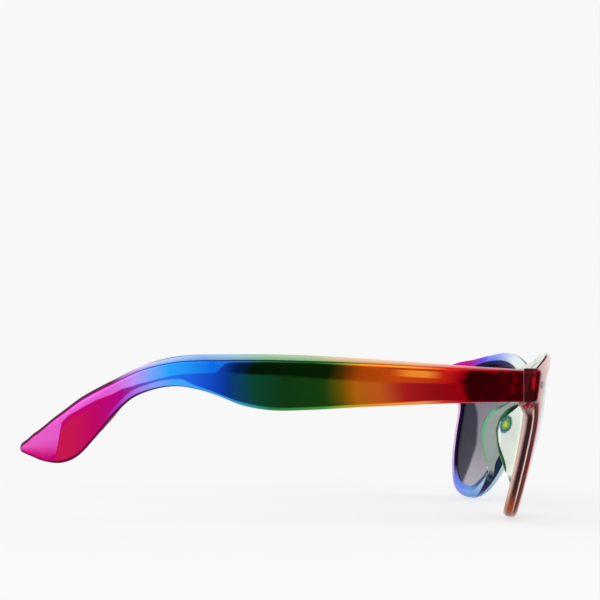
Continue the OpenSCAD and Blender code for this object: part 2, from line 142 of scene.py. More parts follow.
def height_at(keys: Sequence[Key], y: float) -> float:
    """Finds the height of a smooth line.

    Args:
        keys: Its (distance, height) keys.
        y: Distance along it.

    Returns:
        The height.
    """
    line = np.array(keys, float)
    i = max([j for j in range(len(line) - 1) if line[j][0] <= y] or [0])
    return float(open_at(line, i + (y - line[i][0]) / (line[i + 1][0] - line[i][0]))[1])


def level_at(levels: Levels, x: float) -> float:
    """Returns the value at x of straight stretches between (place, value) pairs."""
    return float(np.interp(x, *zip(*levels)))


def mix(a: float, b: float, t: float) -> float:
    """Returns the value at share t between a and b."""
    return a + (b - a) * t


def clamp01(x: float) -> float:
    """Returns x held between 0 and 1."""
    return min(1.0, max(0.0, x))


def rounding(d: np.ndarray, r: float) -> np.ndarray:
    """Returns how far an edge of radius r falls away at distance d from it."""
    inside = np.clip(r - d, 0.0, r)
    return np.where(d >= r, 0.0, r - np.sqrt(np.maximum(r * r - inside**2, 0.0)))


def linear(rgb: Rgb) -> Rgb:
    """Turns a display colour, 0 to 255, into the light values that shaders use."""
    return tuple(((c / 255 + 0.055) / 1.055) ** 2.4 if c > 10.3 else c / 255 / 12.92 for c in rgb)


@dataclass(frozen=True)
class FrontShape:
    """Sizes of the moulded front, in millimetres, as in the solid model.

    A point on the front is (u, v): the distance along the curve from the middle, and the height along the
    face. A place on the lens is a number from 0 to 16 round its opening: out over the top, down the side and
    back up along the nose.
    """

    lens_w: float = 50.0
    lens_h: float = 42.4
    bridge_gap: float = 21.8
    lens_radius: float = 100.0
    lens_t: float = 1.8
    groove_depth: float = 1.0
    lens_clear: float = 0.15
    front_t: float = 4.3
    wrap_radius: float = 205.0
    front_tilt: float = 6.8
    bow_radius: float = 155.0
    bow_start: float = -11.6
    brow_h: float = 4.4
    bridge_dip: float = 4.8
    bridge_h: float = 8.4
    rim_side: float = 4.8
    rim_foot: float = 3.8
    rim_nose: float = 4.4
    edge_r: float = 1.1
    back_r: float = 1.9
    lip_r: float = 0.3
    end_reach: float = 11.8
    end_drop: float = 5.8
    end_h: float = 9.35
    end_depth: float = 5.15
    corner_r: float = 0.8
    pad_reach: float = 12.2
    pad_flare: float = 3.0
    pad_t: float = 2.2
    lens_sink: float = 0.15
    lens_crown: float = -15.0
    seam_edge: float = 0.14
    end_start: float = 13.2
    end_ease: float = 4.0
    end_under: float = 4.5
    end_over: float = 3.2
    places: int = 16
    middle_steps: int = 14
    lens_shape: tuple[Key, ...] = (
        (0, -0.17), (0.05, -0.05), (0.2, -0.01), (0.44, 0), (0.7, -0.02), (0.905, -0.08),
        (0.99, -0.2), (0.992, -0.4), (0.975, -0.6), (0.915, -0.8), (0.79, -0.95), (0.61, -1),
        (0.425, -0.965), (0.25, -0.83), (0.125, -0.62), (0.04, -0.39),
    )
    # Brow: share of the lens's width, height, place on the lens.
    brow_shape: tuple[Key, ...] = (
        (-0.09, -4.05, 1), (0.06, -2.4, 1.5), (0.2, -1.05, 2), (0.4, 0, 2.8),
        (0.62, -0.75, 3.65), (0.8, -1.9, 4.3), (0.98, -3.2, 4.95),
    )
    # End piece: corner radii in from its outer face, corner radii down, share of its height down, place.
    end_shape: tuple[Key, ...] = (
        (0.55, -0.025, 0, 5.58), (0.25, 0.3, 0, 5.61), (0.06, 0.6, 0, 5.64), (0, 1, 0, 5.68),
        (0, 0, 0.3, 5.82), (0, 0, 0.5, 5.97), (0, 0, 0.7, 6.12), (0, -1, 1, 6.26),
        (0.06, -0.6, 1, 6.29), (0.25, -0.3, 1, 6.33), (0.55, -0.08, 1, 6.355),
    )
    # Nose pad: share of its length down, share of its reach.
    pad_shape: tuple[Key, ...] = (
        (-0.08, 0), (0, 0.1), (0.09, 0.6), (0.21, 0.91), (0.36, 1), (0.49, 0.9),
        (0.62, 0.74), (0.75, 0.48), (0.88, 0.24), (1, 0.02), (1.06, 0),
    )

    @property
    def end_u(self) -> float:
        """Distance along the curve to the end piece's outer face."""
        return self.bridge_gap / 2 + self.lens_w + self.end_reach

    @property
    def lens_top(self) -> float:
        """Height of the top of the lens opening."""
        return -self.brow_h

    @property
    def end_foot(self) -> float:
        """Height of the foot of the end piece."""
        return -self.end_drop - self.end_h

    @property
    def origin(self) -> np.ndarray:
        """The row's origin, on the back of the bridge."""
        return self.at(0.0, -self.bridge_dip - self.bridge_h / 2, self.front_t)

    @property
    def seam_y(self) -> float:
        """How far back the seam with the temple lies."""
        return float(self.at(self.end_u, -self.end_drop, 0.0)[1] + self.end_depth)

    @property
    def side_x(self) -> float:
        """Half the width over the end pieces."""
        return float(self.at(self.end_u, -self.end_drop, 0.0)[0])

    def bow(self, v: np.ndarray | float) -> np.ndarray:
        """How far the up-and-down curve sets a height back."""
        return np.minimum(0.0, np.asarray(v, float) - self.bow_start) ** 2 / (2 * self.bow_radius)

    def at(self, u: np.ndarray | float, v: np.ndarray | float, w: np.ndarray | float) -> np.ndarray:
        """Finds points of the front.

        Args:
            u: Distance along the curve from the middle.
            v: Height along the face.
            w: Distance back from the face.

        Returns:
            Points in millimetres, before the move to the row's origin.
        """
        u, v, w = np.broadcast_arrays(np.asarray(u, float), np.asarray(v, float), np.asarray(w, float))
        a = u / self.wrap_radius
        r = self.wrap_radius - w - self.bow(v)
        x, y, z = r * np.sin(a), self.wrap_radius - r * np.cos(a), v
        t = math.radians(self.front_tilt)
        return np.stack([x, y * math.cos(t) - z * math.sin(t), y * math.sin(t) + z * math.cos(t)], -1)

    def lens_edge(self, k: float) -> np.ndarray:
        """Finds a point of the lens opening.

        Args:
            k: Place on the lens.

        Returns:
            The (u, v) point.
        """
        i = math.floor(k)
        keys = [np.array(self.lens_shape[(i + j) % self.places], float) for j in (-1, 0, 1, 2)]
        p = smooth_key(*keys, k - i)
        return np.array([self.bridge_gap / 2 + p[0] * self.lens_w, self.lens_top + p[1] * self.lens_h])

    def lens_out(self, k: float, step: float = 0.02) -> np.ndarray:
        """Returns the outward direction of the lens opening at place k, read over a small step."""
        d = self.lens_edge(k + step) - self.lens_edge(k - step)
        return np.array([-d[1], d[0]]) / np.linalg.norm(d)

    def rim_at(self, k: float) -> Key:
        """Finds the rim's outer point beside, below and inside the lens.

        Args:
            k: Place on the lens.

        Returns:
            The point's u and v, and its place.
        """
        width = level_at(((7, self.rim_side), (11, self.rim_foot), (14, self.rim_nose)), k)
        p = self.lens_edge(k) + width * self.lens_out(k)
        return (float(p[0]), float(p[1]), k)

    def outline(self, fine: int) -> tuple[np.ndarray, np.ndarray]:
        """Draws the outline of one half and the middle line that closes it.

        Args:
            fine: Points on each stretch between two keys.

        Returns:
            The free outline and the line up the middle, as rows of (u, v, place on the lens).
        """
        end_u, top, foot, c = self.end_u, -self.end_drop, self.end_foot, self.corner_r
        bridge_foot = -self.bridge_dip - self.bridge_h
        over = (0.0, -self.bridge_dip, 0.5)
        under = (0.0, bridge_foot, 15.75)
        arch = (self.bridge_gap / 2 - 5.7, bridge_foot - 2.4, 15.4)
        brow = [(self.bridge_gap / 2 + s * self.lens_w, v, k) for s, v, k in self.brow_shape]

        def mirrored(key: Key, middle: Key) -> Key:
            """Returns the key that continues the line past the middle."""
            return (-key[0], key[1], 2 * middle[2] - key[2])

        top_keys = np.array([mirrored(brow[0], over), over, *brow, (end_u - 5, top + 1.2, 5.36),
                             (end_u - c, top + 0.3 * c, 5.56)])
        end_line = [(end_u - a * c, top - b * c - share * self.end_h, k) for a, b, share, k in self.end_shape]
        foot_keys = np.array([(end_u - c, foot, 6.38), (end_u - 3.6, foot - 1.3, 6.58),
                              *[self.rim_at(k) for k in range(7, self.places)],
                              arch, under, mirrored(arch, under)])
        top_line = [open_at(top_keys, 1 + i / fine) for i in range(fine * (len(top_keys) - 2) + 1)]
        foot_line = [open_at(foot_keys, i / fine) for i in range(fine * (len(foot_keys) - 2) + 1)]
        shares = [(1 - math.cos(math.pi * i / self.middle_steps)) / 2 for i in range(1, self.middle_steps)]
        middle = [(0.0, mix(bridge_foot, -self.bridge_dip, t), mix(under[2], over[2] + self.places, t))
                  for t in shares]
        return np.array([*top_line, *end_line, *foot_line]), np.array(middle)

    def end_share(self, p: np.ndarray) -> np.ndarray:
        """Finds how far points belong to the deeper end piece.

        Args:
            p: Rows of (u, v).

        Returns:
            A share from 0 to 1 for each.
        """
        out = np.clip((p[:, 0] - (self.end_u - self.end_start)) / self.end_ease, 0, 1)
        up = np.clip((p[:, 1] - self.end_foot + self.end_under) / self.end_ease, 0, 1)
        return out * up * (1 - np.clip((p[:, 1] + self.end_drop) / self.end_over, 0, 1))

    def lens_w_at(self, p: np.ndarray, depth: float) -> np.ndarray:
        """Finds how far behind the rim's face the lens's surface lies.

        Args:
            p: Rows of (u, v).
            depth: Distance of that surface behind the lens's own face.

        Returns:
            The distance back at each point.
        """
        turn = (self.bridge_gap / 2 + self.lens_w / 2) / self.wrap_radius
        axis_r = self.wrap_radius - self.lens_sink - self.lens_radius
        a = p[:, 0] / self.wrap_radius - turn
        ring_r = axis_r * np.cos(a) + np.sqrt(
            (self.lens_radius - depth) ** 2 - (p[:, 1] - self.lens_crown) ** 2 - (axis_r * np.sin(a)) ** 2)
        return self.wrap_radius - ring_r - self.bow(p[:, 1])

    def to_row(self, points: np.ndarray, side: int = 1) -> np.ndarray:
        """Returns points moved to the row's origin, in metres, on the given side."""
        moved = points - np.array([0.0, self.origin[1], self.origin[2]])
        return moved * np.array([side, 1, 1]) * MM


def ring_quad(i: int, j: int, rings: int, n: int) -> list[int]:
    """Finds the corners of a face between a ring and the next.

    Args:
        i: Number of the ring.
        j: Number of the face round it.
        rings: How many rings there are.
        n: Points on each ring.

    Returns:
        Four point numbers.
    """
    right, ahead = (j + 1) % n, (i + 1) % rings
    return [i * n + j, i * n + right, ahead * n + right, ahead * n + j]


def new_object(name: str, points: np.ndarray, faces: Sequence[Sequence[int]]) -> Piece:
    """Makes a mesh object in the scene from points in metres and faces.

    Args:
        name: Name of the piece.
        points: One row of X, Y, Z per point.
        faces: Point numbers of each face.

    Returns:
        The new object.
    """
    mesh = bpy.data.meshes.new(name)
    mesh.from_pydata([tuple(map(float, p)) for p in points], [], [tuple(map(int, f)) for f in faces])
    mesh.update()
    obj = bpy.data.objects.new(name, mesh)
    bpy.context.scene.collection.objects.link(obj)
    return obj


def add_value(obj: Piece, name: str, values: Sequence[float]) -> None:
    """Stores one number per point of a mesh under a name that materials read."""
    layer = obj.data.attributes.new(name, "FLOAT", "POINT")
    layer.data.foreach_set("value", np.asarray(values, np.float32))


def dress(obj: Piece, materials: Sequence[Material], slots: Sequence[int] = ()) -> None:
    """Gives a piece its materials.

    Args:
        obj: Piece to dress.
        materials: Its materials, in the order of their slots.
        slots: Slot number of each face, where it has more than one material.
    """
    obj.data.materials.clear()
    for material in materials:
        obj.data.materials.append(material)
    if slots:
        obj.data.polygons.foreach_set("material_index", slots)
    log.info("dressed %s", obj.name)


def finish_mesh(obj: Piece, sharp_deg: float, merge: float = 1e-7) -> None:
    """Merges touching points, turns faces outwards and shades the mesh smooth up to an angle.

    Args:
        obj: Piece to finish.
        sharp_deg: Edges sharper than this stay sharp.
        merge: Distance within which points merge, in metres.
    """
    bm = bmesh.new()
    bm.from_mesh(obj.data)
    bmesh.ops.remove_doubles(bm, verts=bm.verts, dist=merge)
    bmesh.ops.dissolve_degenerate(bm, edges=bm.edges, dist=merge)
    bmesh.ops.recalc_face_normals(bm, faces=bm.faces)
    bm.to_mesh(obj.data)
    bm.free()
    obj.data.shade_smooth()
    obj.data.set_sharp_from_angle(angle=math.radians(sharp_deg))


class Graph:
    """A node tree with short calls for adding and joining nodes.

    A value that a call takes is a socket to link or a plain number or colour to set.
    """

    def __init__(self, tree: bpy.types.NodeTree) -> None:
        """Keeps the tree that nodes go into."""
        self.tree = tree

    def node(self, kind: str, **settings: object) -> bpy.types.Node:
        """Adds a node and sets its properties.

        Args:
            kind: Node type.
            **settings: Properties of the node.

        Returns:
            The node.
        """
        made = self.tree.nodes.new(kind)
        for key, value in settings.items():
            setattr(made, key, value)
        return made

    def put(self, value: object, socket: Socket) -> None:
        """Feeds an input.

        Args:
            value: What it takes.
            socket: The input.
        """
        if isinstance(value, Socket):
            self.tree.links.new(value, socket)
        elif isinstance(value, tuple) and len(value) == 3 and socket.type == "RGBA":
            socket.default_value = (*value, 1.0)
        else:
            socket.default_value = value

    def math(self, operation: str, a: object, b: object = 0.0, clamp: bool = False) -> Socket:
        """Adds a Math node.

        Args:
            operation: What it does.
            a: First value.
            b: Second value.
            clamp: Whether the result is held between 0 and 1.

        Returns:
            The result.
        """
        made = self.node("ShaderNodeMath", operation=operation, use_clamp=clamp)
        self.put(a, made.inputs[0])
        self.put(b, made.inputs[1])
        return made.outputs[0]

    def times(self, first: object, *others: object) -> Socket:
        """Returns the product of all values."""
        for other in others:
            first = self.math("MULTIPLY", first, other)
        return first

    def most(self, first: object, *others: object) -> Socket:
        """Returns the largest of all values."""
        for other in others:
            first = self.math("MAXIMUM", first, other)
        return first

    def plus(self, a: object, b: object) -> Socket:
        """Returns a plus b."""
        return self.math("ADD", a, b)

    def minus(self, a: object, b: object) -> Socket:
        """Returns a minus b."""
        return self.math("SUBTRACT", a, b)

    def away(self, a: object, middle: float) -> Socket:
        """Returns how far a is from the middle."""
        return self.math("ABSOLUTE", self.minus(a, middle))

    def square(self, a: object) -> Socket:
        """Returns a times itself."""
        return self.math("POWER", a, 2.0)

    def blend(self, share: object, a: object, b: object, mode: str = "MIX") -> Socket:
        """Adds a colour Mix node.

        Args:
            share: How much of b there is.
            a: First colour.
            b: Second colour.
            mode: How b goes over a.

        Returns:
            The colour.
        """
        made = self.node("ShaderNodeMix", data_type="RGBA", blend_type=mode, clamp_factor=True)
        self.put(share, made.inputs["Factor"])
        self.put(a, made.inputs[6])
        self.put(b, made.inputs[7])
        return made.outputs[2]

    def span(self, value: object, low: float, high: float, to_low: float = 0.0, to_high: float = 1.0,
             smooth: bool = True) -> Socket:
        """Adds a Map Range node.

        Args:
            value: What it reads.
            low: Value that gives to_low.
            high: Value that gives to_high, which may lie below low.
            to_low: Result at low and beyond.
            to_high: Result at high and beyond.
            smooth: Whether it eases in and out.

        Returns:
            The result.
        """
        made = self.node("ShaderNodeMapRange", clamp=True,
                         interpolation_type="SMOOTHSTEP" if smooth else "LINEAR")
        self.put(value, made.inputs["Value"])
        for key, number in zip(("From Min", "From Max", "To Min", "To Max"), (low, high, to_low, to_high)):
            made.inputs[key].default_value = number
        return made.outputs[0]

    def _stops(self, value: object, stops: Sequence[tuple[float, Rgb]]) -> Socket:
        """Adds a colour ramp.

        Args:
            value: Place along the ramp.
            stops: Places and their light values.

        Returns:
            The colour.
        """
        made = self.node("ShaderNodeValToRGB")
        elements = made.color_ramp.elements
        while len(elements) < len(stops):
            elements.new(0.5)
        for element, (place, colour) in zip(elements, stops):
            element.position = place
            element.color = (*colour, 1.0)
        self.put(value, made.inputs[0])
        return made.outputs[0]

    def ramp(self, value: object, stops: Stops) -> Socket:
        """Returns the colour at a value of a ramp of display colours, 0 to 255."""
        return self._stops(value, [(place, linear(rgb)) for place, rgb in stops])

    def level(self, value: object, levels: Levels) -> Socket:
        """Returns the number at a value of a ramp of plain numbers from 0 to 1."""
        return self._stops(value, [(place, (number, number, number)) for place, number in levels])

    def attribute(self, name: str) -> Socket:
        """Reads a number stored on the mesh's points."""
        return self.node("ShaderNodeAttribute", attribute_name=name).outputs["Fac"]

    def place(self) -> Socket:
        """Reads the place on the piece, in metres."""
        return self.node("ShaderNodeTexCoord").outputs["Object"]

    def axes(self) -> bpy.types.bpy_prop_collection:
        """Reads the place on the piece axis by axis, in metres.

        Returns:
            The sockets X, Y and Z.
        """
        split = self.node("ShaderNodeSeparateXYZ")
        self.put(self.place(), split.inputs[0])
        return split.outputs

    def noise(self, scale: object, detail: float = 2.0) -> Socket:
        """Adds a soft noise over the piece.

        Args:
            scale: How fine it is.
            detail: How many finer layers it has.

        Returns:
            A value about 0.5.
        """
        made = self.node("ShaderNodeTexNoise")
        made.inputs["Detail"].default_value = detail
        self.put(self.place(), made.inputs["Vector"])
        self.put(scale, made.inputs["Scale"])
        return made.outputs["Fac"]


class MaterialGraph(Graph):
    """The node tree of one new material, with its Principled shader."""

    def __init__(self, name: str) -> None:
        """Makes the material.

        Args:
            name: Its name.
        """
        self.material = bpy.data.materials.new(name)
        self.material.use_nodes = True
        super().__init__(self.material.node_tree)
        self.shader = self.tree.nodes["Principled BSDF"]

    def effect(self, tree: bpy.types.NodeTree, **values: float) -> Socket:
        """Places a shared effect.

        Args:
            tree: The effect's node group.
            **values: What its inputs are set to.

        Returns:
            What the effect puts out.
        """
        made = self.node("ShaderNodeGroup", node_tree=tree)
        for key, value in values.items():
            made.inputs[key].default_value = value
        return made.outputs[0]

    def finish(self, **values: object) -> Material:
        """Feeds the shader.

        Args:
            **values: What its inputs take, by their names with _ for each space.

        Returns:
            The material.
        """
        for key, value in values.items():
            self.put(value, self.shader.inputs[key.replace("_", " ")])
        return self.material


class Effects:
    """Shader node groups that more than one finish uses, each built once."""

    def __init__(self) -> None:
        """Builds the groups."""
        self.wear = self._wear()
        self.ripple = self._ripple()

    @staticmethod
    def _group(name: str, inputs: dict[str, float], output: str, kind: str) -> tuple[Graph, object, Socket]:
        """Makes a shader node group with number inputs and one output.

        Args:
            name: Name of the group.
            inputs: Each input's default.
            output: Name of the output.
            kind: Socket type of the output.

        Returns:
            The group's graph, the sockets of its inputs and the socket that takes its result.
        """
        tree = bpy.data.node_groups.new(name, "ShaderNodeTree")
        for label, default in inputs.items():
            socket = tree.interface.new_socket(label, in_out="INPUT", socket_type="NodeSocketFloat")
            socket.default_value = default
        tree.interface.new_socket(output, in_out="OUTPUT", socket_type=kind)
        g = Graph(tree)
        return g, g.node("NodeGroupInput").outputs, g.node("NodeGroupOutput").inputs[output]

    def _wear(self) -> bpy.types.NodeTree:
        """Makes fine smudges and hairlines that change the gloss a little.

        Returns:
            The node group, which puts out a roughness.
        """
        g, given, out = self._group("GlossWear", {"Base": 0.08, "Amount": 0.04, "Scale": 90.0}, "Roughness",
                                    "NodeSocketFloat")
        smudge = g.span(g.noise(given["Scale"], 3.0), 0.4, 0.75)
        g.put(g.plus(given["Base"], g.times(smudge, given["Amount"])), out)
        return g.tree

    def _ripple(self) -> bpy.types.NodeTree:
        """Makes the slow unevenness of a moulded surface.

        Returns:
            The node group, which puts out a normal.
        """
        g, given, out = self._group("MouldRipple", {"Strength": 0.05, "Scale": 60.0}, "Normal",
                                    "NodeSocketVector")
        bump = g.node("ShaderNodeBump")
        bump.inputs["Distance"].default_value = 0.0002
        g.put(given["Strength"], bump.inputs["Strength"])
        g.put(g.noise(given["Scale"], 1.0), bump.inputs["Height"])
        g.put(bump.outputs["Normal"], out)
        return g.tree


@dataclass(frozen=True)
class FrontHues:
    """Colours of the front across its width, from the right end to the left."""

    half_width: float = 0.0712
    coat: Stops = (
        (0.0, (124, 0, 14)), (0.08, (170, 6, 30)), (0.17, (205, 44, 24)), (0.27, (225, 110, 30)),
        (0.36, (225, 185, 45)), (0.45, (90, 165, 60)), (0.53, (30, 150, 90)), (0.61, (24, 140, 190)),
        (0.7, (40, 110, 240)), (0.8, (100, 110, 245)), (0.89, (160, 60, 220)), (1.0, (205, 0, 130)),
    )
    # Pale colours of the clear plastic; the finishes also use them for painted highlights along edges and
    # flecks.
    pale: Stops = (
        (0.0, (230, 186, 182)), (0.12, (232, 196, 184)), (0.28, (238, 222, 204)), (0.42, (230, 240, 226)),
        (0.5, (222, 238, 226)), (0.6, (206, 226, 226)), (0.66, (176, 214, 246)), (0.74, (120, 160, 246)),
        (0.84, (140, 150, 250)), (0.92, (234, 198, 238)), (1.0, (246, 192, 238)),
    )
    brow: Stops = (
        (0.0, (216, 213, 211)), (0.2, (222, 222, 216)), (0.5, (222, 238, 226)), (0.62, (225, 234, 232)),
        (0.68, (170, 190, 240)), (0.76, (100, 130, 245)), (0.84, (110, 70, 225)), (0.9, (190, 20, 160)),
        (1.0, (180, 0, 110)),
    )
    foot: Stops = (
        (0.0, (176, 62, 18)), (0.2, (190, 84, 20)), (0.35, (196, 160, 60)), (0.5, (90, 170, 90)),
        (0.65, (110, 190, 240)), (0.8, (110, 146, 245)), (0.92, (120, 130, 245)), (1.0, (190, 150, 235)),
    )
    # Dark colours: the end walls' own dark, and the painted shade on the flat back, the rim's walls and the
    # edge lines.
    deep: Stops = (
        (0.0, (66, 2, 8)), (0.02, (66, 4, 10)), (0.05, (44, 18, 24)), (0.12, (58, 24, 24)),
        (0.28, (92, 46, 14)), (0.4, (44, 74, 20)), (0.5, (10, 70, 44)), (0.6, (14, 44, 66)),
        (0.7, (26, 20, 76)), (0.8, (24, 12, 60)), (1.0, (28, 4, 38)),
    )

    def across(self, g: Graph) -> Socket:
        """Adds the place across the width, from 0 to 1."""
        return g.span(g.axes()["X"], -self.half_width, self.half_width, smooth=False)


@dataclass(frozen=True)
class FrontCoat:
    """Iridescent metal coating of the front's face, with a painted line of shade or highlight along its edge
    and a painted sheen on the brow.
    """

    hues: FrontHues
    roughness: float = 0.1
    metallic: float = 1.0
    painted_edge_mm: Reach = (0.6, 0.2)
    sheen_mm: Reach = (2.8, 0.4)
    sheen: float = 0.55

    def build(self, effects: Effects) -> Material:
        """Makes the coating's material.

        Args:
            effects: Shared effects.

        Returns:
            The material.
        """
        g = MaterialGraph("front_coat")
        across = self.hues.across(g)
        edge, brow, pale = g.attribute("edge"), g.attribute("brow"), g.ramp(across, self.hues.pale)
        # The line along the edge is painted: shade, which turns to a painted highlight on the far rim.
        share = g.times(g.span(across, 0.35, 0.6, 0.06, 0.85),
                        g.most(g.attribute("streak"), g.attribute("bay")))
        line = g.times(g.span(edge, *self.painted_edge_mm), g.minus(1.0, brow))
        # Painted sheen: pale colour laid on the brow near its edge.
        sheen = g.times(g.span(edge, *self.sheen_mm, 0.0, self.sheen), brow)
        coat = g.blend(sheen, g.ramp(across, self.hues.coat), pale)
        return g.finish(
            Base_Color=g.blend(line, coat, g.blend(share, g.ramp(across, self.hues.deep), pale)),
            Metallic=self.metallic,
            Roughness=g.effect(effects.wear, Base=self.roughness, Amount=0.05, Scale=400.0),
            Normal=g.effect(effects.ripple, Strength=0.04, Scale=300.0))


@dataclass(frozen=True)
class ClearBody:
    """Tinted clear plastic of the front's back and walls, pale on its edges as a painted highlight, with
    painted shade on its flat back.
    """

    hues: FrontHues
    name: str
    specular: float
    roughness: float = 0.05
    clear: float = 0.06
    ior: float = 1.5
    # How dark the painted streaks are on the near rim's wall, from its face to its back: painted shade where
    # the lens's edge shows through, pale painted highlights between.
    painted_streaks: Levels = (
        (0.0, 0.05), (0.09, 0.05), (0.14, 0.9), (0.2, 1.0), (0.5, 1.0), (0.6, 0.75), (0.7, 0.4), (0.8, 0.08),
        (0.93, 0.08), (0.965, 0.6), (0.985, 0.3), (1.0, 0.0),
    )
    near_half: Reach = (0.55, 0.45)
    foot_z: Reach = (-0.031, -0.037)
    brow_shade_line_mm: Reach = (0.75, 0.5)

    def _painted_shade_and_dark_ends(self, g: Graph, across: Socket) -> Socket:
        """Adds where painted shade and the end walls' own dark colour lie.

        Args:
            g: Graph of the material.
            across: Place across the width.

        Returns:
            How much dark lies there, from 0 to 1.
        """
        wall, brow, streak, bay = (g.attribute(name) for name in ("wall", "brow", "streak", "bay"))
        # Painted streaks of shade and highlight on the near rim's wall.
        painted_streaks = g.times(g.level(wall, self.painted_streaks), streak, g.span(across, *self.near_half))
        # Painted shade: a thin line on the back's rounded edge, widening to a band on the nose side.
        tapered = g.span(g.minus(wall, g.times(bay, 0.85)), 0.26, 0.16)
        band = g.times(g.span(wall, 0.14, 0.24), tapered)
        # The end walls' own dark colour.
        ends = g.times(g.minus(1.0, streak), g.minus(1.0, brow),
                       g.span(g.away(across, 0.5), 0.44, 0.46, 0, 0.75))
        # Painted shade in a line just behind the brow's face.
        line = g.times(g.span(g.attribute("depth"), *self.brow_shade_line_mm), brow)
        # Painted shade on the flat back near the lens opening.
        flat = g.times(g.span(g.attribute("inner"), 0.42, 0.32), g.attribute("dark"))
        return g.most(painted_streaks, band, ends, line, flat)

    def _joint(self, g: Graph, across: Socket, deep: Socket, pale: Socket) -> Socket:
        """Adds the colour of the joint under the end piece, with pale flecks painted as small highlights.

        Args:
            g: Graph of the material.
            across: Place across the width.
            deep: Deep colour there.
            pale: Pale colour there.

        Returns:
            The joint's colour.
        """
        painted_glints = g.span(g.noise(1100.0), 0.5, 0.68, 0.0, 0.5)
        return g.blend(painted_glints, g.blend(0.5, deep, g.ramp(g.plus(across, 0.05), self.hues.coat)), pale)

    def build(self, effects: Effects) -> Material:
        """Makes the plastic's material.

        Args:
            effects: Shared effects.

        Returns:
            The material.
        """
        g = MaterialGraph(self.name)
        across = self.hues.across(g)
        pale = g.blend(g.attribute("brow"), g.ramp(across, self.hues.pale), g.ramp(across, self.hues.brow))
        deep = g.ramp(across, self.hues.deep)
        # Painted shade and the end walls' own dark, laid over the pale plastic.
        body = g.blend(self._painted_shade_and_dark_ends(g, across), pale, deep)
        bare = g.math("SUBTRACT", g.span(across, 0.45, 0.6, 0.6, 0.9), g.times(g.attribute("bay"), 1.6),
                      clamp=True)
        low = g.times(g.span(g.axes()["Z"], *self.foot_z), bare)
        body = g.blend(low, body, g.ramp(across, self.hues.foot))
        joint = g.times(g.attribute("joint"), g.span(g.attribute("wall"), 0.98, 0.9))
        return g.finish(
            Base_Color=g.blend(joint, body, self._joint(g, across, deep, pale)),
            Roughness=g.effect(effects.wear, Base=self.roughness, Amount=0.04, Scale=400.0),
            Transmission_Weight=self.clear,
            IOR=self.ior,
            Specular_IOR_Level=self.specular)


@dataclass(frozen=True)
class PadPlastic:
    """Milky clear plastic of one side of the nose pads, with a green line along the edge and, where glow is
    set, a painted glow.
    """

    hues: FrontHues
    name: str
    body: Rgb
    line: Rgb
    spotted: bool = False
    # Painted light: emission that makes the pad look as bright as clear plastic with white behind it.
    glow: float = 0.0
    top_line: float = 0.15
    low_line: float = 0.0
    dark_line: Rgb = (4, 26, 8)
    roughness: float = 0.08
    clear: float = 0.05
    ior: float = 1.5
    specular: float = 0.3
    spot: Reach = (0.0076, -0.0136)
    spot_half: Reach = (0.0022, 0.0030)
    spot_lean: float = 0.35
    spot_rings: Stops = (
        (0.0, (190, 212, 60)), (0.14, (130, 190, 40)), (0.34, (30, 130, 50)), (0.55, (12, 84, 70)),
        (0.75, (30, 110, 150)), (1.0, (150, 205, 215)),
    )

    def _spot(self, g: Graph, body: Socket) -> Socket:
        """Adds the oily spot in the pad's upper half.

        Args:
            g: Graph of the material.
            body: Colour round the spot.

        Returns:
            The colour with the spot.
        """
        axes = g.axes()
        y, z = (g.math("DIVIDE", g.minus(axes[axis], middle), half)
                for axis, middle, half in zip("YZ", self.spot, self.spot_half))
        y = g.plus(y, g.times(z, self.spot_lean))
        wobble = g.times(g.minus(g.noise(900.0), 0.5), 0.7)
        away = g.plus(g.plus(g.square(y), g.square(z)), wobble)
        share = g.times(g.span(away, 1.3, 0.65), g.attribute("padness"), 0.92)
        return g.blend(share, body, g.ramp(away, self.spot_rings))

    def build(self, effects: Effects) -> Material:
        """Makes the pads' material.

        Args:
            effects: Shared effects.

        Returns:
            The material.
        """
        g = MaterialGraph(self.name)
        fin, z, across = g.attribute("fin"), g.axes()["Z"], self.hues.across(g)
        milk = linear(self.body)
        cloudy = tuple(c * 0.97 for c in milk)
        body = g.blend(g.span(g.noise(250.0), 0.35, 0.7), milk, cloudy)
        rim = g.blend(g.attribute("bay"), g.ramp(across, self.hues.pale), g.ramp(across, self.hues.deep))
        body = g.blend(g.span(g.attribute("padness"), 0.05, 0.7), rim, body)
        if self.spotted:
            body = self._spot(g, body)
        wide = g.most(g.span(z, -0.0135, -0.007, 0.0, self.top_line),
                      g.span(z, -0.018, -0.026, 0.0, self.low_line))
        high = g.span(z, -0.0105, -0.0085, 0.0, 0.8)
        line = g.blend(high, linear(self.line), linear(self.dark_line))
        body = g.blend(g.span(g.plus(fin, wide), 0.87, 0.95), body, line)
        return g.finish(
            Base_Color=body,
            # Painted light: the pad glows, less towards its root.
            Emission_Color=g.blend(g.span(fin, 0.02, 0.4, 0.55, 1.0), (0.0, 0.0, 0.0), body),
            Emission_Strength=self.glow,
            Roughness=g.effect(effects.wear, Base=self.roughness, Amount=0.05, Scale=500.0),
            Transmission_Weight=self.clear,
            IOR=self.ior,
            Specular_IOR_Level=self.specular)


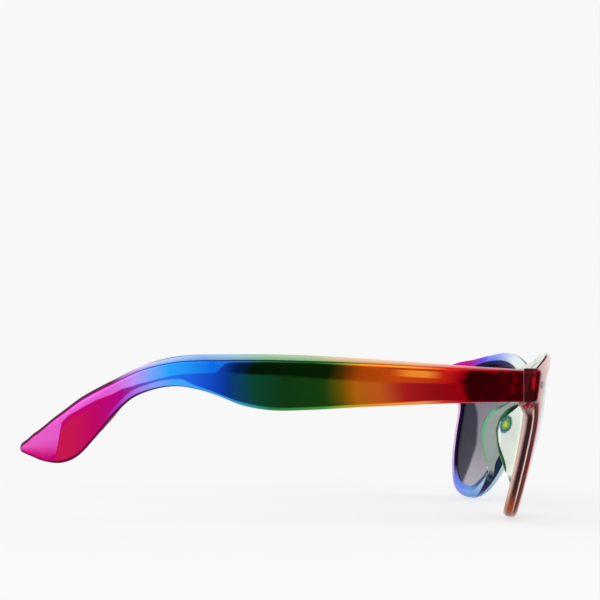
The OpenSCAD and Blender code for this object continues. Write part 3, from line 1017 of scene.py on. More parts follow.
def blocks(g: Graph, width: float, height: float) -> Socket:
    """Adds uneven upright blocks, as of a hinge seen dimly through the plastic.

    Args:
        g: Graph of the material.
        width: Width of a block in metres.
        height: Height of a block in metres.

    Returns:
        How brightly each block shows, from 0 to 1.
    """
    axes, flat = g.axes(), g.node("ShaderNodeCombineXYZ")
    g.put(axes["Y"], flat.inputs["X"])
    g.put(axes["Z"], flat.inputs["Y"])
    brick = g.node("ShaderNodeTexBrick", offset=0.37)
    g.put(flat.outputs[0], brick.inputs["Vector"])
    for key, value in (("Color1", (0, 0, 0, 1)), ("Color2", (1, 1, 1, 1)), ("Mortar", (0.1, 0.1, 0.1, 1)),
                       ("Scale", 1.0), ("Mortar Size", 0.00012), ("Mortar Smooth", 0.6), ("Bias", -0.2),
                       ("Brick Width", width), ("Row Height", height)):
        brick.inputs[key].default_value = value
    tone = g.node("ShaderNodeSeparateColor")
    g.put(brick.outputs["Color"], tone.inputs[0])
    return g.span(tone.outputs[0], 0.3, 0.9)


@dataclass(frozen=True)
class EndPlastic:
    """Dark see-through plastic on the sides of the end pieces, with a lit patch in its middle."""

    hues: FrontHues
    roughness: float = 0.1
    metallic: float = 0.9
    darker: float = 0.35
    lit: Reach = (0.0093, 0.0003)
    lit_half: Reach = (0.0013, 0.0017)

    def build(self, effects: Effects) -> Material:
        """Makes the end pieces' material.

        Args:
            effects: Shared effects.

        Returns:
            The material.
        """
        g = MaterialGraph("end_plastic")
        across, axes = self.hues.across(g), g.axes()
        deep = g.blend(self.darker, g.ramp(across, self.hues.deep), (0.0, 0.0, 0.0))
        # The lit patch is a painted highlight.
        inside = g.times(*[g.span(g.away(axes[axis], middle), half * 1.35, half * 0.7)
                           for axis, middle, half in zip("YZ", self.lit, self.lit_half)])
        shown = g.most(inside, g.times(blocks(g, 0.0013, 0.0023), 0.35))
        return g.finish(
            Base_Color=g.blend(shown, deep, g.ramp(g.plus(across, 0.06), self.hues.coat)),
            Metallic=self.metallic,
            Roughness=g.effect(effects.wear, Base=self.roughness, Amount=0.05, Scale=400.0))


@dataclass(frozen=True)
class Stripe:
    """A stripe along a temple, in millimetres below the rounded top edge and in shares of the length."""

    below: float
    half: Reach
    start: Reach
    end: Reach
    hue: Rgb
    strength: float


@dataclass(frozen=True)
class TempleCoat:
    """Iridescent coating of a temple, laid out along it and across its height.

    The bands along the top and foot are painted highlights in the coat's hues, and the dark lines under the
    top edge and along the foot are painted shade. The bands' widths, top_w, foot_w and foot_line, are in
    units of 10 mm.
    """

    roughness: float = 0.12
    metallic: float = 1.0
    upper: Stops = (
        (0.0, (60, 0, 4)), (0.115, (44, 0, 2)), (0.13, (150, 2, 14)), (0.16, (190, 30, 20)),
        (0.25, (196, 72, 16)), (0.33, (165, 65, 8)), (0.37, (70, 45, 4)), (0.395, (8, 30, 4)),
        (0.55, (2, 24, 6)), (0.59, (6, 34, 100)),
    )
    lower: Stops = (
        (0.0, (60, 0, 4)), (0.11, (52, 0, 4)), (0.125, (150, 4, 16)), (0.17, (140, 12, 20)),
        (0.24, (165, 30, 28)), (0.29, (190, 85, 30)), (0.34, (175, 95, 14)), (0.37, (95, 80, 6)),
        (0.4, (24, 62, 16)), (0.48, (16, 56, 20)), (0.54, (14, 68, 46)), (0.59, (14, 60, 120)),
    )
    tail: Stops = (
        (0.58, (10, 44, 120)), (0.61, (16, 66, 180)), (0.65, (26, 90, 225)), (0.72, (44, 120, 240)),
        (0.76, (100, 75, 205)), (0.8, (176, 10, 140)), (0.86, (198, 10, 100)), (0.9, (203, 26, 80)),
        (1.0, (204, 22, 90)),
    )
    # Painted highlight along the top edge, in the coat's hues.
    top_highlight_hues: Stops = (
        (0.0, (120, 0, 10)), (0.15, (190, 10, 20)), (0.175, (235, 90, 40)), (0.22, (250, 140, 36)),
        (0.28, (240, 128, 28)), (0.33, (190, 130, 34)), (0.37, (80, 120, 40)), (0.42, (26, 88, 24)),
        (0.52, (30, 96, 60)), (0.57, (32, 110, 170)), (0.62, (14, 110, 235)), (0.71, (42, 168, 255)),
        (0.745, (118, 168, 255)), (0.78, (198, 145, 250)), (0.82, (228, 95, 215)), (1.0, (238, 95, 200)),
    )
    # Painted highlight along the foot, in the coat's hues.
    foot_highlight_hues: Stops = (
        (0.0, (110, 0, 10)), (0.12, (182, 18, 36)), (0.16, (205, 65, 50)), (0.2, (252, 155, 80)),
        (0.3, (240, 145, 32)), (0.36, (155, 175, 54)), (0.4, (66, 150, 60)), (0.5, (40, 130, 60)),
        (0.55, (54, 154, 165)), (0.59, (60, 150, 240)), (0.7, (70, 172, 255)), (0.745, (148, 158, 248)),
        (0.78, (184, 105, 226)), (0.81, (175, 50, 180)), (0.85, (190, 10, 110)), (1.0, (205, 10, 110)),
    )
    # Painted shade in lines under the top edge and along the foot.
    line: Stops = (
        (0.0, (60, 0, 8)), (0.16, (150, 30, 20)), (0.3, (120, 50, 10)), (0.38, (20, 30, 4)),
        (0.55, (2, 16, 20)), (0.62, (4, 20, 90)), (0.72, (20, 50, 140)), (0.78, (50, 10, 90)),
        (0.84, (110, 10, 60)), (1.0, (110, 8, 66)),
    )
    top_w: Levels = (
        (0.0, 0.05), (0.25, 0.09), (0.36, 0.09), (0.42, 0.07), (0.58, 0.08), (0.595, 0.1), (0.615, 0.38),
        (0.7, 0.39), (0.75, 0.41), (0.78, 0.37), (0.8, 0.3), (0.82, 0.31), (0.85, 0.25), (0.885, 0.24),
        (0.905, 0.19), (0.919, 0.24), (0.929, 1.0), (1.0, 1.0),
    )
    foot_w: Levels = (
        (0.0, 0.05), (0.1, 0.055), (0.16, 0.11), (0.34, 0.09), (0.56, 0.1), (0.6, 0.075), (0.64, 0.09),
        (0.662, 0.13), (0.68, 0.22), (0.75, 0.21), (0.78, 0.24), (0.82, 0.25), (0.835, 0.16), (0.85, 0.035),
        (1.0, 0.035),
    )
    foot_line: Levels = (
        (0.0, 0.02), (0.68, 0.02), (0.75, 0.05), (0.79, 0.08), (0.82, 0.12), (0.87, 0.11), (0.91, 0.08),
        (0.95, 0.05), (1.0, 0.05),
    )
    middle: Levels = ((0.0, 0.5), (0.3, 0.52), (0.5, 0.63), (0.62, 0.6))
    stripes: tuple[Stripe, ...] = (
        Stripe(2.3, (1.2, 0.8), (0.158, 0.2), (0.27, 0.22), (240, 138, 44), 1.0),
        Stripe(1.15, (0.35, 0.1), (0.14, 0.17), (0.33, 0.24), (130, 36, 8), 0.8),
    )
    rosy: Rgb = (198, 4, 116)
    tip: Rgb = (212, 12, 122)
    hinge: Rgb = (150, 6, 14)
    band_edge_mm: Reach = (-0.1, 0.35)

    def colour(self, g: Graph) -> Socket:
        """Adds the coating's layout.

        Args:
            g: Graph of the material.

        Returns:
            Its colour.
        """
        along, across = g.attribute("along"), g.attribute("across")
        from_top, from_foot = g.attribute("from_top"), g.attribute("from_foot")
        where = g.plus(along, g.times(g.minus(g.noise(55.0), 0.5), 0.02))
        above = g.span(g.minus(across, g.level(along, self.middle)), -0.035, 0.035)
        bulged = g.plus(where, g.times(g.square(g.minus(across, 0.45)), 0.07))
        face = g.blend(above, g.ramp(bulged, self.lower), g.ramp(bulged, self.upper))
        for stripe in self.stripes:
            share = g.times(g.span(g.away(from_top, stripe.below), *stripe.half),
                            g.span(along, *stripe.start), g.span(along, *stripe.end), stripe.strength)
            face = g.blend(share, face, linear(stripe.hue))
        face = g.blend(g.span(along, 0.575, 0.6), face, g.ramp(along, self.tail))
        # Painted highlight bands along the top and the foot.
        top_highlight = g.minus(g.times(g.level(along, self.top_w), 10.0), from_top)
        foot_highlight = g.minus(g.times(g.level(along, self.foot_w), 10.0), from_foot)
        rosy = g.times(g.span(top_highlight, -2.4, -0.2), g.span(along, 0.8, 0.84))
        face = g.blend(rosy, face, linear(self.rosy))
        face = g.blend(g.span(foot_highlight, *self.band_edge_mm), face, g.ramp(where, self.foot_highlight_hues))
        tip = g.times(g.span(along, 0.915, 0.935), g.span(across, 0.62, 0.08))
        top_hue = g.blend(tip, g.ramp(where, self.top_highlight_hues), linear(self.tip))
        face = g.blend(g.span(top_highlight, *self.band_edge_mm), face, top_hue)
        # Painted shade: dark lines under the top edge and along the foot.
        line = g.ramp(along, self.line)
        face = g.blend(g.times(g.span(from_top, 0.55, 0.2), 0.92), face, line)
        low_line = g.span(g.minus(g.times(g.level(along, self.foot_line), 10.0), from_foot), -0.2, 0.15)
        face = g.blend(g.times(low_line, g.span(along, 0.6, 0.72)), face, line)
        hidden = g.times(blocks(g, 0.0017, 0.0029), g.span(along, 0.095, 0.06), 0.55)
        return g.blend(hidden, face, linear(self.hinge))

    def build(self, effects: Effects) -> Material:
        """Makes the coating's material.

        Args:
            effects: Shared effects.

        Returns:
            The material.
        """
        g = MaterialGraph("temple_coat")
        return g.finish(
            Base_Color=self.colour(g),
            Metallic=self.metallic,
            Roughness=g.effect(effects.wear, Base=self.roughness, Amount=0.05, Scale=400.0),
            Normal=g.effect(effects.ripple, Strength=0.03, Scale=250.0))


@dataclass(frozen=True)
class ShoulderPlastic:
    """Milky light band on the rounded top edge of a temple, partly a painted highlight, with painted shade
    making it a little greyer at its foot.
    """

    # Pastel hues of the band, brightened as a painted highlight.
    hues: Stops = (
        (0.0, (190, 140, 140)), (0.08, (200, 130, 135)), (0.14, (236, 140, 140)), (0.2, (240, 180, 150)),
        (0.3, (232, 190, 150)), (0.37, (214, 190, 150)), (0.42, (165, 190, 150)), (0.52, (150, 190, 155)),
        (0.58, (145, 185, 205)), (0.64, (130, 175, 235)), (0.71, (165, 195, 245)), (0.76, (205, 190, 235)),
        (0.79, (190, 145, 200)), (0.82, (104, 20, 80)), (1.0, (90, 2, 60)),
    )
    shade: Rgb = (205, 212, 215)
    roughness: float = 0.25
    specular: float = 0.1

    def build(self, effects: Effects) -> Material:
        """Makes the band's material.

        Args:
            effects: Shared effects.

        Returns:
            The material.
        """
        g = MaterialGraph("temple_shoulder")
        hue = g.ramp(g.attribute("along"), self.hues)
        shaded = g.blend(1.0, hue, linear(self.shade), "MULTIPLY")
        return g.finish(
            Base_Color=g.blend(g.span(g.attribute("shoulder"), 0.0, 0.6), shaded, hue),
            Roughness=g.effect(effects.wear, Base=self.roughness, Amount=0.05, Scale=400.0),
            Specular_IOR_Level=self.specular)


@dataclass(frozen=True)
class LensMirror:
    """Mirror on the lens's outer face, from its foot to its top."""

    tint: Stops = ((0.0, (206, 212, 222)), (0.6, (196, 202, 214)), (1.0, (150, 158, 178)))
    roughness: float = 0.03
    metallic: float = 0.95

    def build(self, effects: Effects) -> Material:
        """Makes the mirror's material.

        Args:
            effects: Shared effects.

        Returns:
            The material.
        """
        g = MaterialGraph("lens_mirror")
        return g.finish(
            Base_Color=g.ramp(g.attribute("height"), self.tint),
            Metallic=self.metallic,
            Roughness=g.effect(effects.wear, Base=self.roughness, Amount=0.03, Scale=500.0))


@dataclass(frozen=True)
class LensInside:
    """Smoky grey of the lens seen from behind, with a painted dark reflection as a patch on its outer side.
    """

    tone: Stops = (
        (0.0, (176, 173, 182)), (0.35, (142, 139, 148)), (0.7, (128, 125, 138)), (0.86, (96, 88, 106)),
        (1.0, (48, 24, 58)),
    )
    # Colour of the painted dark reflection.
    dark: Rgb = (50, 48, 62)
    patch: Reach = (0.735, 0.785)
    painted_reflection_share: float = 0.95
    roughness: float = 0.05
    specular: float = 0.03

    def build(self, effects: Effects) -> Material:
        """Makes the inner face's material.

        Args:
            effects: Shared effects.

        Returns:
            The material.
        """
        g = MaterialGraph("lens_inside")
        across, height = g.attribute("across"), g.attribute("height")
        over = g.most(g.minus(height, 0.43), 0.0)
        arc = g.plus(g.minus(across, g.times(g.square(over), 1.9)), g.span(height, 0.5, 0.3, 0.0, 0.05))
        # The patch is a painted dark reflection.
        patch = g.times(g.span(arc, *self.patch), self.painted_reflection_share)
        return g.finish(
            Base_Color=g.blend(patch, g.ramp(height, self.tone), linear(self.dark)),
            Roughness=g.effect(effects.wear, Base=self.roughness, Amount=0.04, Scale=500.0),
            Specular_IOR_Level=self.specular)


@dataclass(frozen=True)
class PlatedMetal:
    """Plated metal of hinges, screws and studs."""

    name: str
    colour: Rgb
    roughness: float = 0.18
    grain: float = 1500.0
    dull: float = 0.72

    def build(self, effects: Effects) -> Material:
        """Makes the metal's material.

        Args:
            effects: Shared effects.

        Returns:
            The material.
        """
        g = MaterialGraph(self.name)
        bright = linear(self.colour)
        dull = tuple(c * self.dull for c in bright)
        return g.finish(
            Base_Color=g.blend(g.noise(self.grain), dull, bright),
            Metallic=1.0,
            Roughness=g.effect(effects.wear, Base=self.roughness, Amount=0.15, Scale=900.0))


@dataclass
class FrontMoulding:
    """The one-piece front: rims, bridge, nose pads and end pieces.

    Each point carries the values that its finishes read:

        wall: 0 on the face, 1 on the back.
        inner: Share across the rim, from 0 at the lens opening.
        edge: Distance from the outline, in millimetres.
        fin: Height on the nose pad, from 0 to 1.
        depth: Distance behind the face's outer edge, in millimetres.

    A whole section shares one padness, which is 1 along the nose pads, and one of each value of round_lens,
    which depends on the place on the lens.
    """

    shape: FrontShape
    fine: int = 8
    pad_share: float = 3.0
    pad_top: float = -15.85
    pad_h: float = 26.2
    pad_place: float = 12.5
    pad_least_t: float = 1.2
    end_strip: float = 1.2
    last_coated: int = 13
    last_nose: int = 19
    first_inner: int = 27
    # Rows over the edge. First the plain rim's offset in from the outline. Then the pad's: the shares of its
    # lean and thickness and the millimetres that make its offset, and the share of its rise.
    rows: tuple[Key, ...] = (
        (0, 0, 0, 0, 0), (0.03, 0.08, 0, 0, 0.16), (0.11, 0.28, 0, 0, 0.4), (0.24, 0.6, 0, 0, 0.72),
        (0.42, 0.88, 0, 0, 0.92), (0.64, 1, 0.2, 0, 0.99), (0.86, 1, 0.5, 0, 1), (1.08, 1, 0.82, 0, 0.96),
        (1.3, 1, 1, 0, 0.84), (1.5, 0.62, 1, 0, 0.5), (1.7, 0.3, 1, 0, 0.22), (2.0, 0.1, 1, 0.1, 0.06),
        (2.4, 0, 1, 0.5, 0),
    )
    # How far the painted shade of the flat back is shifted across the rim.
    inner_shift: Levels = (
        (5.5, 0), (6.5, -0.05), (9.5, -0.05), (10.3, 0), (11.2, 0), (11.8, 0.22), (13.0, 0.22), (13.6, 0),
    )
    # Values by place on the lens; dark is how much painted shade the flat back takes.
    round_lens: tuple[tuple[str, Levels], ...] = (
        ("streak", ((6.35, 0), (6.8, 1), (12.0, 1), (13.0, 0))),
        ("brow", ((5.57, 1), (5.66, 0), (15.4, 0), (15.75, 1))),
        ("joint", ((6.3, 0), (6.36, 1), (6.6, 1), (6.72, 0))),
        ("dark", ((0, 0.9), (5, 1), (9.3, 1), (10.3, 0.15), (11.2, 0.15), (11.8, 0.85), (13, 0.85),
                  (13.6, 0.25), (15, 0.25), (16, 0.9))),
        ("bay", ((11.6, 0), (13.0, 1), (13.8, 1), (14.4, 0))),
    )

    def _swell(self, spoke: np.ndarray) -> float:
        """Finds how far the nose pad stands out at an outline point.

        Args:
            spoke: Outline point and its place on the lens.

        Returns:
            A share from 0 to 1.
        """
        keys = self.shape.pad_shape
        t = (self.pad_top - float(spoke[1])) / self.pad_h
        if spoke[2] < self.pad_place or t < keys[0][0] or t > keys[-1][0]:
            return 0.0
        return clamp01(height_at(keys, t))

    def _face(self, p: np.ndarray, fall: np.ndarray) -> np.ndarray:
        """Finds points over the face, which falls straight back at the end piece.

        Args:
            p: Rows of (u, v).
            fall: How far its rounded edges fall back at each.

        Returns:
            Points in millimetres.
        """
        share = self.shape.end_share(p)[:, None]
        straight = self.shape.at(p[:, 0], p[:, 1], 0.0) + np.array([0, 1, 0]) * fall[:, None]
        return self.shape.at(p[:, 0], p[:, 1], fall) * (1 - share) + straight * share

    def _back(self, p: np.ndarray, drop: np.ndarray, stand: np.ndarray) -> np.ndarray:
        """Finds points over the back, which is the flat seam at the end piece.

        Args:
            p: Rows of (u, v).
            drop: How far its rounded edges fall forwards at each.
            stand: How far the nose pad stands back at each.

        Returns:
            Points in millimetres.
        """
        s = self.shape
        share, flat = s.end_share(p)[:, None], s.at(p[:, 0], p[:, 1], 0.0)
        seam = np.stack([flat[:, 0], s.seam_y - s.seam_edge * drop, flat[:, 2]], -1)
        return s.at(p[:, 0], p[:, 1], s.front_t - drop + stand) * (1 - share) + seam * share

    def _groove(self, k: float) -> np.ndarray:
        """Finds the four points of the lens groove, from its back wall to its front wall.

        Args:
            k: Place on the lens.

        Returns:
            Points in millimetres.
        """
        s = self.shape
        mouth = np.array([s.lens_edge(k), s.lens_edge(k) + s.groove_depth * s.lens_out(k)])
        walls = [s.at(mouth[:, 0], mouth[:, 1], s.lens_w_at(mouth, depth))
                 for depth in (s.lens_t + s.lens_clear, -s.lens_clear)]
        return np.concatenate([walls[0], walls[1][::-1]])

    def _section(self, spoke: np.ndarray,
                 nearest: Callable[[np.ndarray], np.ndarray]) -> tuple[np.ndarray, dict[str, np.ndarray]]:
        """Makes one cross-section of the rim.

        Args:
            spoke: Outline point and its place on the lens.
            nearest: Distance of (u, v) points from the free outline.

        Returns:
            Points from the lens opening out over the face, back over the edge or pad, in to the opening and
            round the groove, and the values of each by name.
        """
        s, k = self.shape, float(spoke[2])
        a, b = s.lens_edge(k), spoke[:2]
        reach = float(np.linalg.norm(b - a))
        along = (b - a) / reach
        lip, start = s.lip_r, s.lip_r + 0.02
        steps = [0, 0.1 * lip, 0.35 * lip, 0.7 * lip, start]
        steps += [mix(start, reach - s.edge_r, t) for t in (0.25, 0.5, 0.75)]
        steps += [reach - s.edge_r * t for t in (1, 0.72, 0.48, 0.28, 0.13, 0.04, 0.0)]
        out = np.array(steps)
        over = a + out[:, None] * along
        face = self._face(over, np.maximum(rounding(out, lip), rounding(nearest(over), s.edge_r)))

        swell = self._swell(spoke)
        fin = clamp01(swell * self.pad_share)
        rows = np.array(self.rows)
        bent = rows[:, 1:4] @ np.array([s.pad_flare * swell, mix(self.pad_least_t, s.pad_t, swell), 1.0])
        offset, rise = rows[:, 0] * (1 - fin) + bent * fin, rows[:, 4]
        inward = -along * (1 - fin) + np.array([1.0, 0.0]) * fin
        edge = b + offset[:, None] * inward / max(float(np.linalg.norm(inward)), 1e-6)
        back_in = [mix(reach - float(offset[-1]), start, t) for t in (0.33, 0.66, 1.0)]
        back_in = np.array(back_in + [0.7 * lip, 0.35 * lip, 0.1 * lip, 0])
        under = np.concatenate([edge, a + back_in[:, None] * along])
        plain = np.concatenate([np.full(len(edge), 1 - fin), np.ones(len(back_in))])
        drop = np.maximum(rounding(nearest(under), s.back_r) * plain,
                          np.concatenate([np.zeros(len(edge)), rounding(back_in, lip)]))
        stand = np.concatenate([rise * (s.pad_reach - s.front_t) * swell, np.zeros(len(back_in))])
        back = self._back(under, drop, stand)

        groove = self._groove(k)
        bare, none = np.zeros(len(out)), np.zeros(len(groove))
        wall = np.clip((s.front_t - drop - s.edge_r) / (s.front_t - s.edge_r), 0, 1)
        shift = level_at(self.inner_shift, k)
        values = {
            "wall": np.concatenate([bare, wall, [1, 1, 0, 0]]),
            "inner": np.concatenate([out, reach - offset, back_in, none]) / reach - shift,
            "edge": np.concatenate([nearest(over), nearest(under), none + 9.0]),
            "fin": np.concatenate([bare, rise * fin, np.zeros(len(back_in)), none]),
            "depth": np.concatenate([face[:, 1], back[:, 1], none + 99.0]) - face[-1, 1],
        }
        everywhere = [("padness", fin)] + [(name, level_at(levels, k)) for name, levels in self.round_lens]
        values.update({name: np.full(len(values["wall"]), value) for name, value in everywhere})
        return np.concatenate([face, back, groove]), values

    def _skin(self, corners: np.ndarray, spoke: np.ndarray, j: int) -> Skin:
        """Finds the kind of surface of one face.

        Args:
            corners: Its corners in millimetres.
            spoke: Outline point at the section.
            j: Number of the face round the section.

        Returns:
            The kind of surface.
        """
        side_wall = self.last_coated + 1
        if j <= self.last_coated:
            return Skin.COATED
        if j == side_wall and corners[:, 0].mean() > self.shape.side_x - self.end_strip:
            return Skin.END
        if self._swell(spoke) > 0 and side_wall < j <= self.first_inner:
            return Skin.NOSE if j <= self.last_nose else Skin.PAD
        outer_brow = float(spoke[2]) < 5.6 and float(spoke[0]) > 45
        return Skin.INNER if j >= self.first_inner or outer_brow else Skin.CLEAR

    def build(self, skins: dict[Skin, Material]) -> Piece:
        """Makes the moulding and dresses it.

        Args:
            skins: Material of each kind of surface.

        Returns:
            The piece.
        """
        free, middle = self.shape.outline(self.fine)
        starts, steps = free[:-1, :2], np.diff(free[:, :2], axis=0)
        lengths = np.maximum((steps**2).sum(1), 1e-12)

        def nearest(p: np.ndarray) -> np.ndarray:
            """Finds how far points are from the free outline.

            Args:
                p: Rows of (u, v).

            Returns:
                The distance of each.
            """
            rel = p[:, None, :] - starts[None]
            t = np.clip((rel * steps[None]).sum(2) / lengths[None], 0, 1)
            return np.linalg.norm(rel - t[..., None] * steps[None], axis=2).min(1)

        spokes = np.concatenate([free, middle])
        sections = [self._section(spoke, nearest) for spoke in spokes]
        rings = np.array([section[0] for section in sections])
        count, n = rings.shape[:2]
        flat_rings = rings.reshape(-1, 3)
        points, faces, slots = [], [], []
        for side in (1, -1):
            base = len(points)
            points.extend(self.shape.to_row(flat_rings, side))
            for i in range(count):
                for j in range(n):
                    quad = ring_quad(i, j, count, n)
                    corners = flat_rings[quad]
                    if np.abs(corners[:, 0]).max() < 1e-6:
                        continue
                    faces.append([base + q for q in quad])
                    slots.append(self._skin(corners, spokes[i], j).value)
        obj = new_object("front_moulding", np.array(points), faces)
        for name in sections[0][1]:
            add_value(obj, name, np.tile(np.concatenate([section[1][name] for section in sections]), 2))
        dress(obj, [skins[skin] for skin in Skin], slots)
        finish_mesh(obj, 40.0)
        return obj


@dataclass
class Lens:
    """One curved lens in its rim."""

    shape: FrontShape
    side: Side
    rings: int = 14
    ring_step: float = 0.125
    middle: Reach = (0.52, 0.48)

    def build(self, mirror: Material, inside: Material) -> Piece:
        """Makes the lens and dresses it.

        Args:
            mirror: Material of the outer face.
            inside: Material of the inner face and edge.

        Returns:
            The piece.
        """
        s = self.shape
        places = np.arange(0, s.places, self.ring_step)
        edge = np.array([s.lens_edge(k) + (s.groove_depth - s.lens_clear) * s.lens_out(k) for k in places])
        middle = np.array([s.bridge_gap / 2 + s.lens_w * self.middle[0],
                           s.lens_top - s.lens_h * self.middle[1]])
        shares = np.linspace(1, 0, self.rings + 1)[:-1] ** 0.8
        n = len(places)
        points, across, height = [], [], []
        for depth in (0.0, s.lens_t):
            for share in [*shares, 0.0]:
                ring = middle + (edge - middle) * share if share > 0 else middle[None]
                points.extend(s.at(ring[:, 0], ring[:, 1], s.lens_w_at(ring, depth)))
                across.extend((ring[:, 0] - s.bridge_gap / 2) / s.lens_w)
                height.extend(1 + (ring[:, 1] - s.lens_top) / s.lens_h)
        layer = self.rings * n + 1
        faces, slots = [], []
        for slot, base in enumerate((0, layer)):
            faces += [[base + q for q in ring_quad(i, j, self.rings, n)]
                      for i in range(self.rings - 1) for j in range(n)]
            last = base + (self.rings - 1) * n
            faces += [[last + j, last + (j + 1) % n, base + layer - 1] for j in range(n)]
            slots += [slot] * (self.rings * n)
        faces += [[j, (j + 1) % n, layer + (j + 1) % n, layer + j] for j in range(n)]
        slots += [1] * n
        obj = new_object(f"{self.side.word}_lens_glass", s.to_row(np.array(points), self.side.value), faces)
        add_value(obj, "across", across)
        add_value(obj, "height", height)
        dress(obj, [mirror, inside], slots)
        finish_mesh(obj, 50.0)
        return obj


@dataclass
class Temple:
    """One folding temple, from upright cross-sections along its length."""

    shape: FrontShape
    side: Side
    length: float = 142.3
    thick: float = 4.2
    tip_thick: float = 2.6
    tip_round: float = 4.0
    tip_left: float = 0.45
    shoulder_h: float = 1.6
    edge_r: float = 0.9
    tip_bend: float = 1.0
    bend_start: float = 92.0
    bend_run: float = 50.0
    seam_gap: float = 0.06
    ease: float = 40.0
    first_shoulder: int = 4
    last_shoulder: int = 10
    top: tuple[Key, ...] = (
        (0, -4.5), (20, -3), (45, -1.15), (68, 0), (90, 0), (99, -0.8), (108, -3.1), (116, -7),
        (125, -11.8), (133, -17.7), (139, -22.4), (141.5, -24.5), (142.05, -25.1), (142.3, -25.9),
    )
    foot: tuple[Key, ...] = (
        (0, -13.8), (20, -14), (45, -14.9), (63, -15.8), (72, -15.8), (80, -14.4), (88, -11.3),
        (94, -9.6), (99, -9), (105, -9.9), (111, -12.4), (116, -17.2), (122, -24.2), (126.5, -28.8),
        (131, -30.5), (136, -29.9), (140.5, -28.1), (141.6, -27.55), (142.1, -27.1), (142.3, -26.5),
    )
    shoulder_share: Levels = ((0, 0.25), (30, 0.6), (63, 1), (88, 1), (110, 0.6), (142, 0.35))
    tip_stations: Key = (136.6, 137.6, 138.6, 139.4, 140.1, 140.7, 141.2, 141.6, 141.9, 142.12, 142.3)

    def _lines(self, y: float) -> tuple[float, float]:
        """Finds the heights of the top and bottom lines, which meet the end piece at the seam.

        Args:
            y: Distance from the seam.

        Returns:
            Both heights.
        """
        s = self.shape
        ease = clamp01(1 - y / self.ease) ** 2
        end_top = float(s.at(s.end_u, -s.end_drop, 0.0)[2])
        end_foot = float(s.at(s.end_u, s.end_foot, 0.0)[2])
        top = height_at(self.top, y) + ease * (end_top - self.top[0][1])
        foot = height_at(self.foot, y) + ease * (end_foot - self.foot[0][1])
        return top, foot

    def _section(self, y: float) -> tuple[np.ndarray, dict[str, np.ndarray]]:
        """Makes one cross-section.

        Args:
            y: Distance from the seam.

        Returns:
            Its points, up the outer side, over the top and down the inner side, and the values that the
            finishes read at each: shares of the length and height, millimetres below the rounded top edge,
            millimetres above the foot, and share of the way over that edge.
        """
        s = self.shape
        top, foot = self._lines(y)
        h = top - foot
        half = mix(self.thick, self.tip_thick, 0.5)
        whole = level_at(((0, self.thick), (22, self.thick), (80, half), (118, self.tip_thick),
                          (self.length, self.tip_thick)), y)
        full = math.sqrt(1 - (1 - clamp01((self.length - y) / self.tip_round)) ** 2)
        t = whole * mix(self.tip_left, 1, full)
        sh = min(self.shoulder_h * level_at(self.shoulder_share, y), 0.3 * h)
        sx = min(1.1 * sh, 0.4 * t)
        r = min(self.edge_r, 0.25 * h, 0.3 * t)
        bend = self.tip_bend * clamp01((y - self.bend_start) / self.bend_run) ** 1.6
        x = s.side_x - bend - 0.5 * (whole - t)
        arc = [math.radians(a) for a in (0, 18, 36, 54, 72, 90)]
        points = [(0.0, mix(foot + r, top - sh, q)) for q in (0.2, 0.4, 0.6, 0.8)]
        points += [(-sx * (1 - math.cos(a)), top - sh + sh * math.sin(a)) for a in arc]
        points += [(-t + r - r * math.sin(a), top - r + r * math.cos(a)) for a in arc]
        points += [(-t, mix(top - r, foot + r, q)) for q in (0.25, 0.5, 0.75)]
        points += [(-t + r - r * math.cos(a), foot + r - r * math.sin(a)) for a in arc]
        points += [(-r + r * math.sin(a), foot + r - r * math.cos(a)) for a in arc]
        z = np.array([p[1] for p in points])
        values = {
            "along": np.full(len(points), y / self.length),
            "across": (z - foot) / max(h, 1e-3),
            "from_top": np.maximum(top - sh - z, 0.0),
            "from_foot": z - foot,
            "shoulder": np.clip((np.arange(len(points)) - self.first_shoulder) / 5, 0, 1),
        }
        return np.array([(x + p[0], s.seam_y + self.seam_gap + y, p[1]) for p in points]), values

    def build(self, coat: Material, shoulder: Material) -> Piece:
        """Makes the temple and dresses it.

        Args:
            coat: Material of the sides.
            shoulder: Material of the rounded top edge.

        Returns:
            The piece.
        """
        sections = [self._section(float(y)) for y in [*np.arange(0, 136, 1.25), *self.tip_stations]]
        rings = np.array([section[0] for section in sections])
        count, n = rings.shape[:2]
        faces = [ring_quad(i, j, count, n) for i in range(count - 1) for j in range(n)]
        slots = [int(self.first_shoulder <= j <= self.last_shoulder)
                 for _ in range(count - 1) for j in range(n)]
        faces += [list(range(n - 1, -1, -1)), list(range((count - 1) * n, count * n))]
        points = self.shape.to_row(rings.reshape(-1, 3), self.side.value)
        obj = new_object(f"{self.side.word}_temple_blade", points, faces)
        for name in sections[0][1]:
            add_value(obj, name, np.concatenate([section[1][name] for section in sections]))
        dress(obj, [coat, shoulder], slots + [0, 0])
        finish_mesh(obj, 50.0)
        return obj


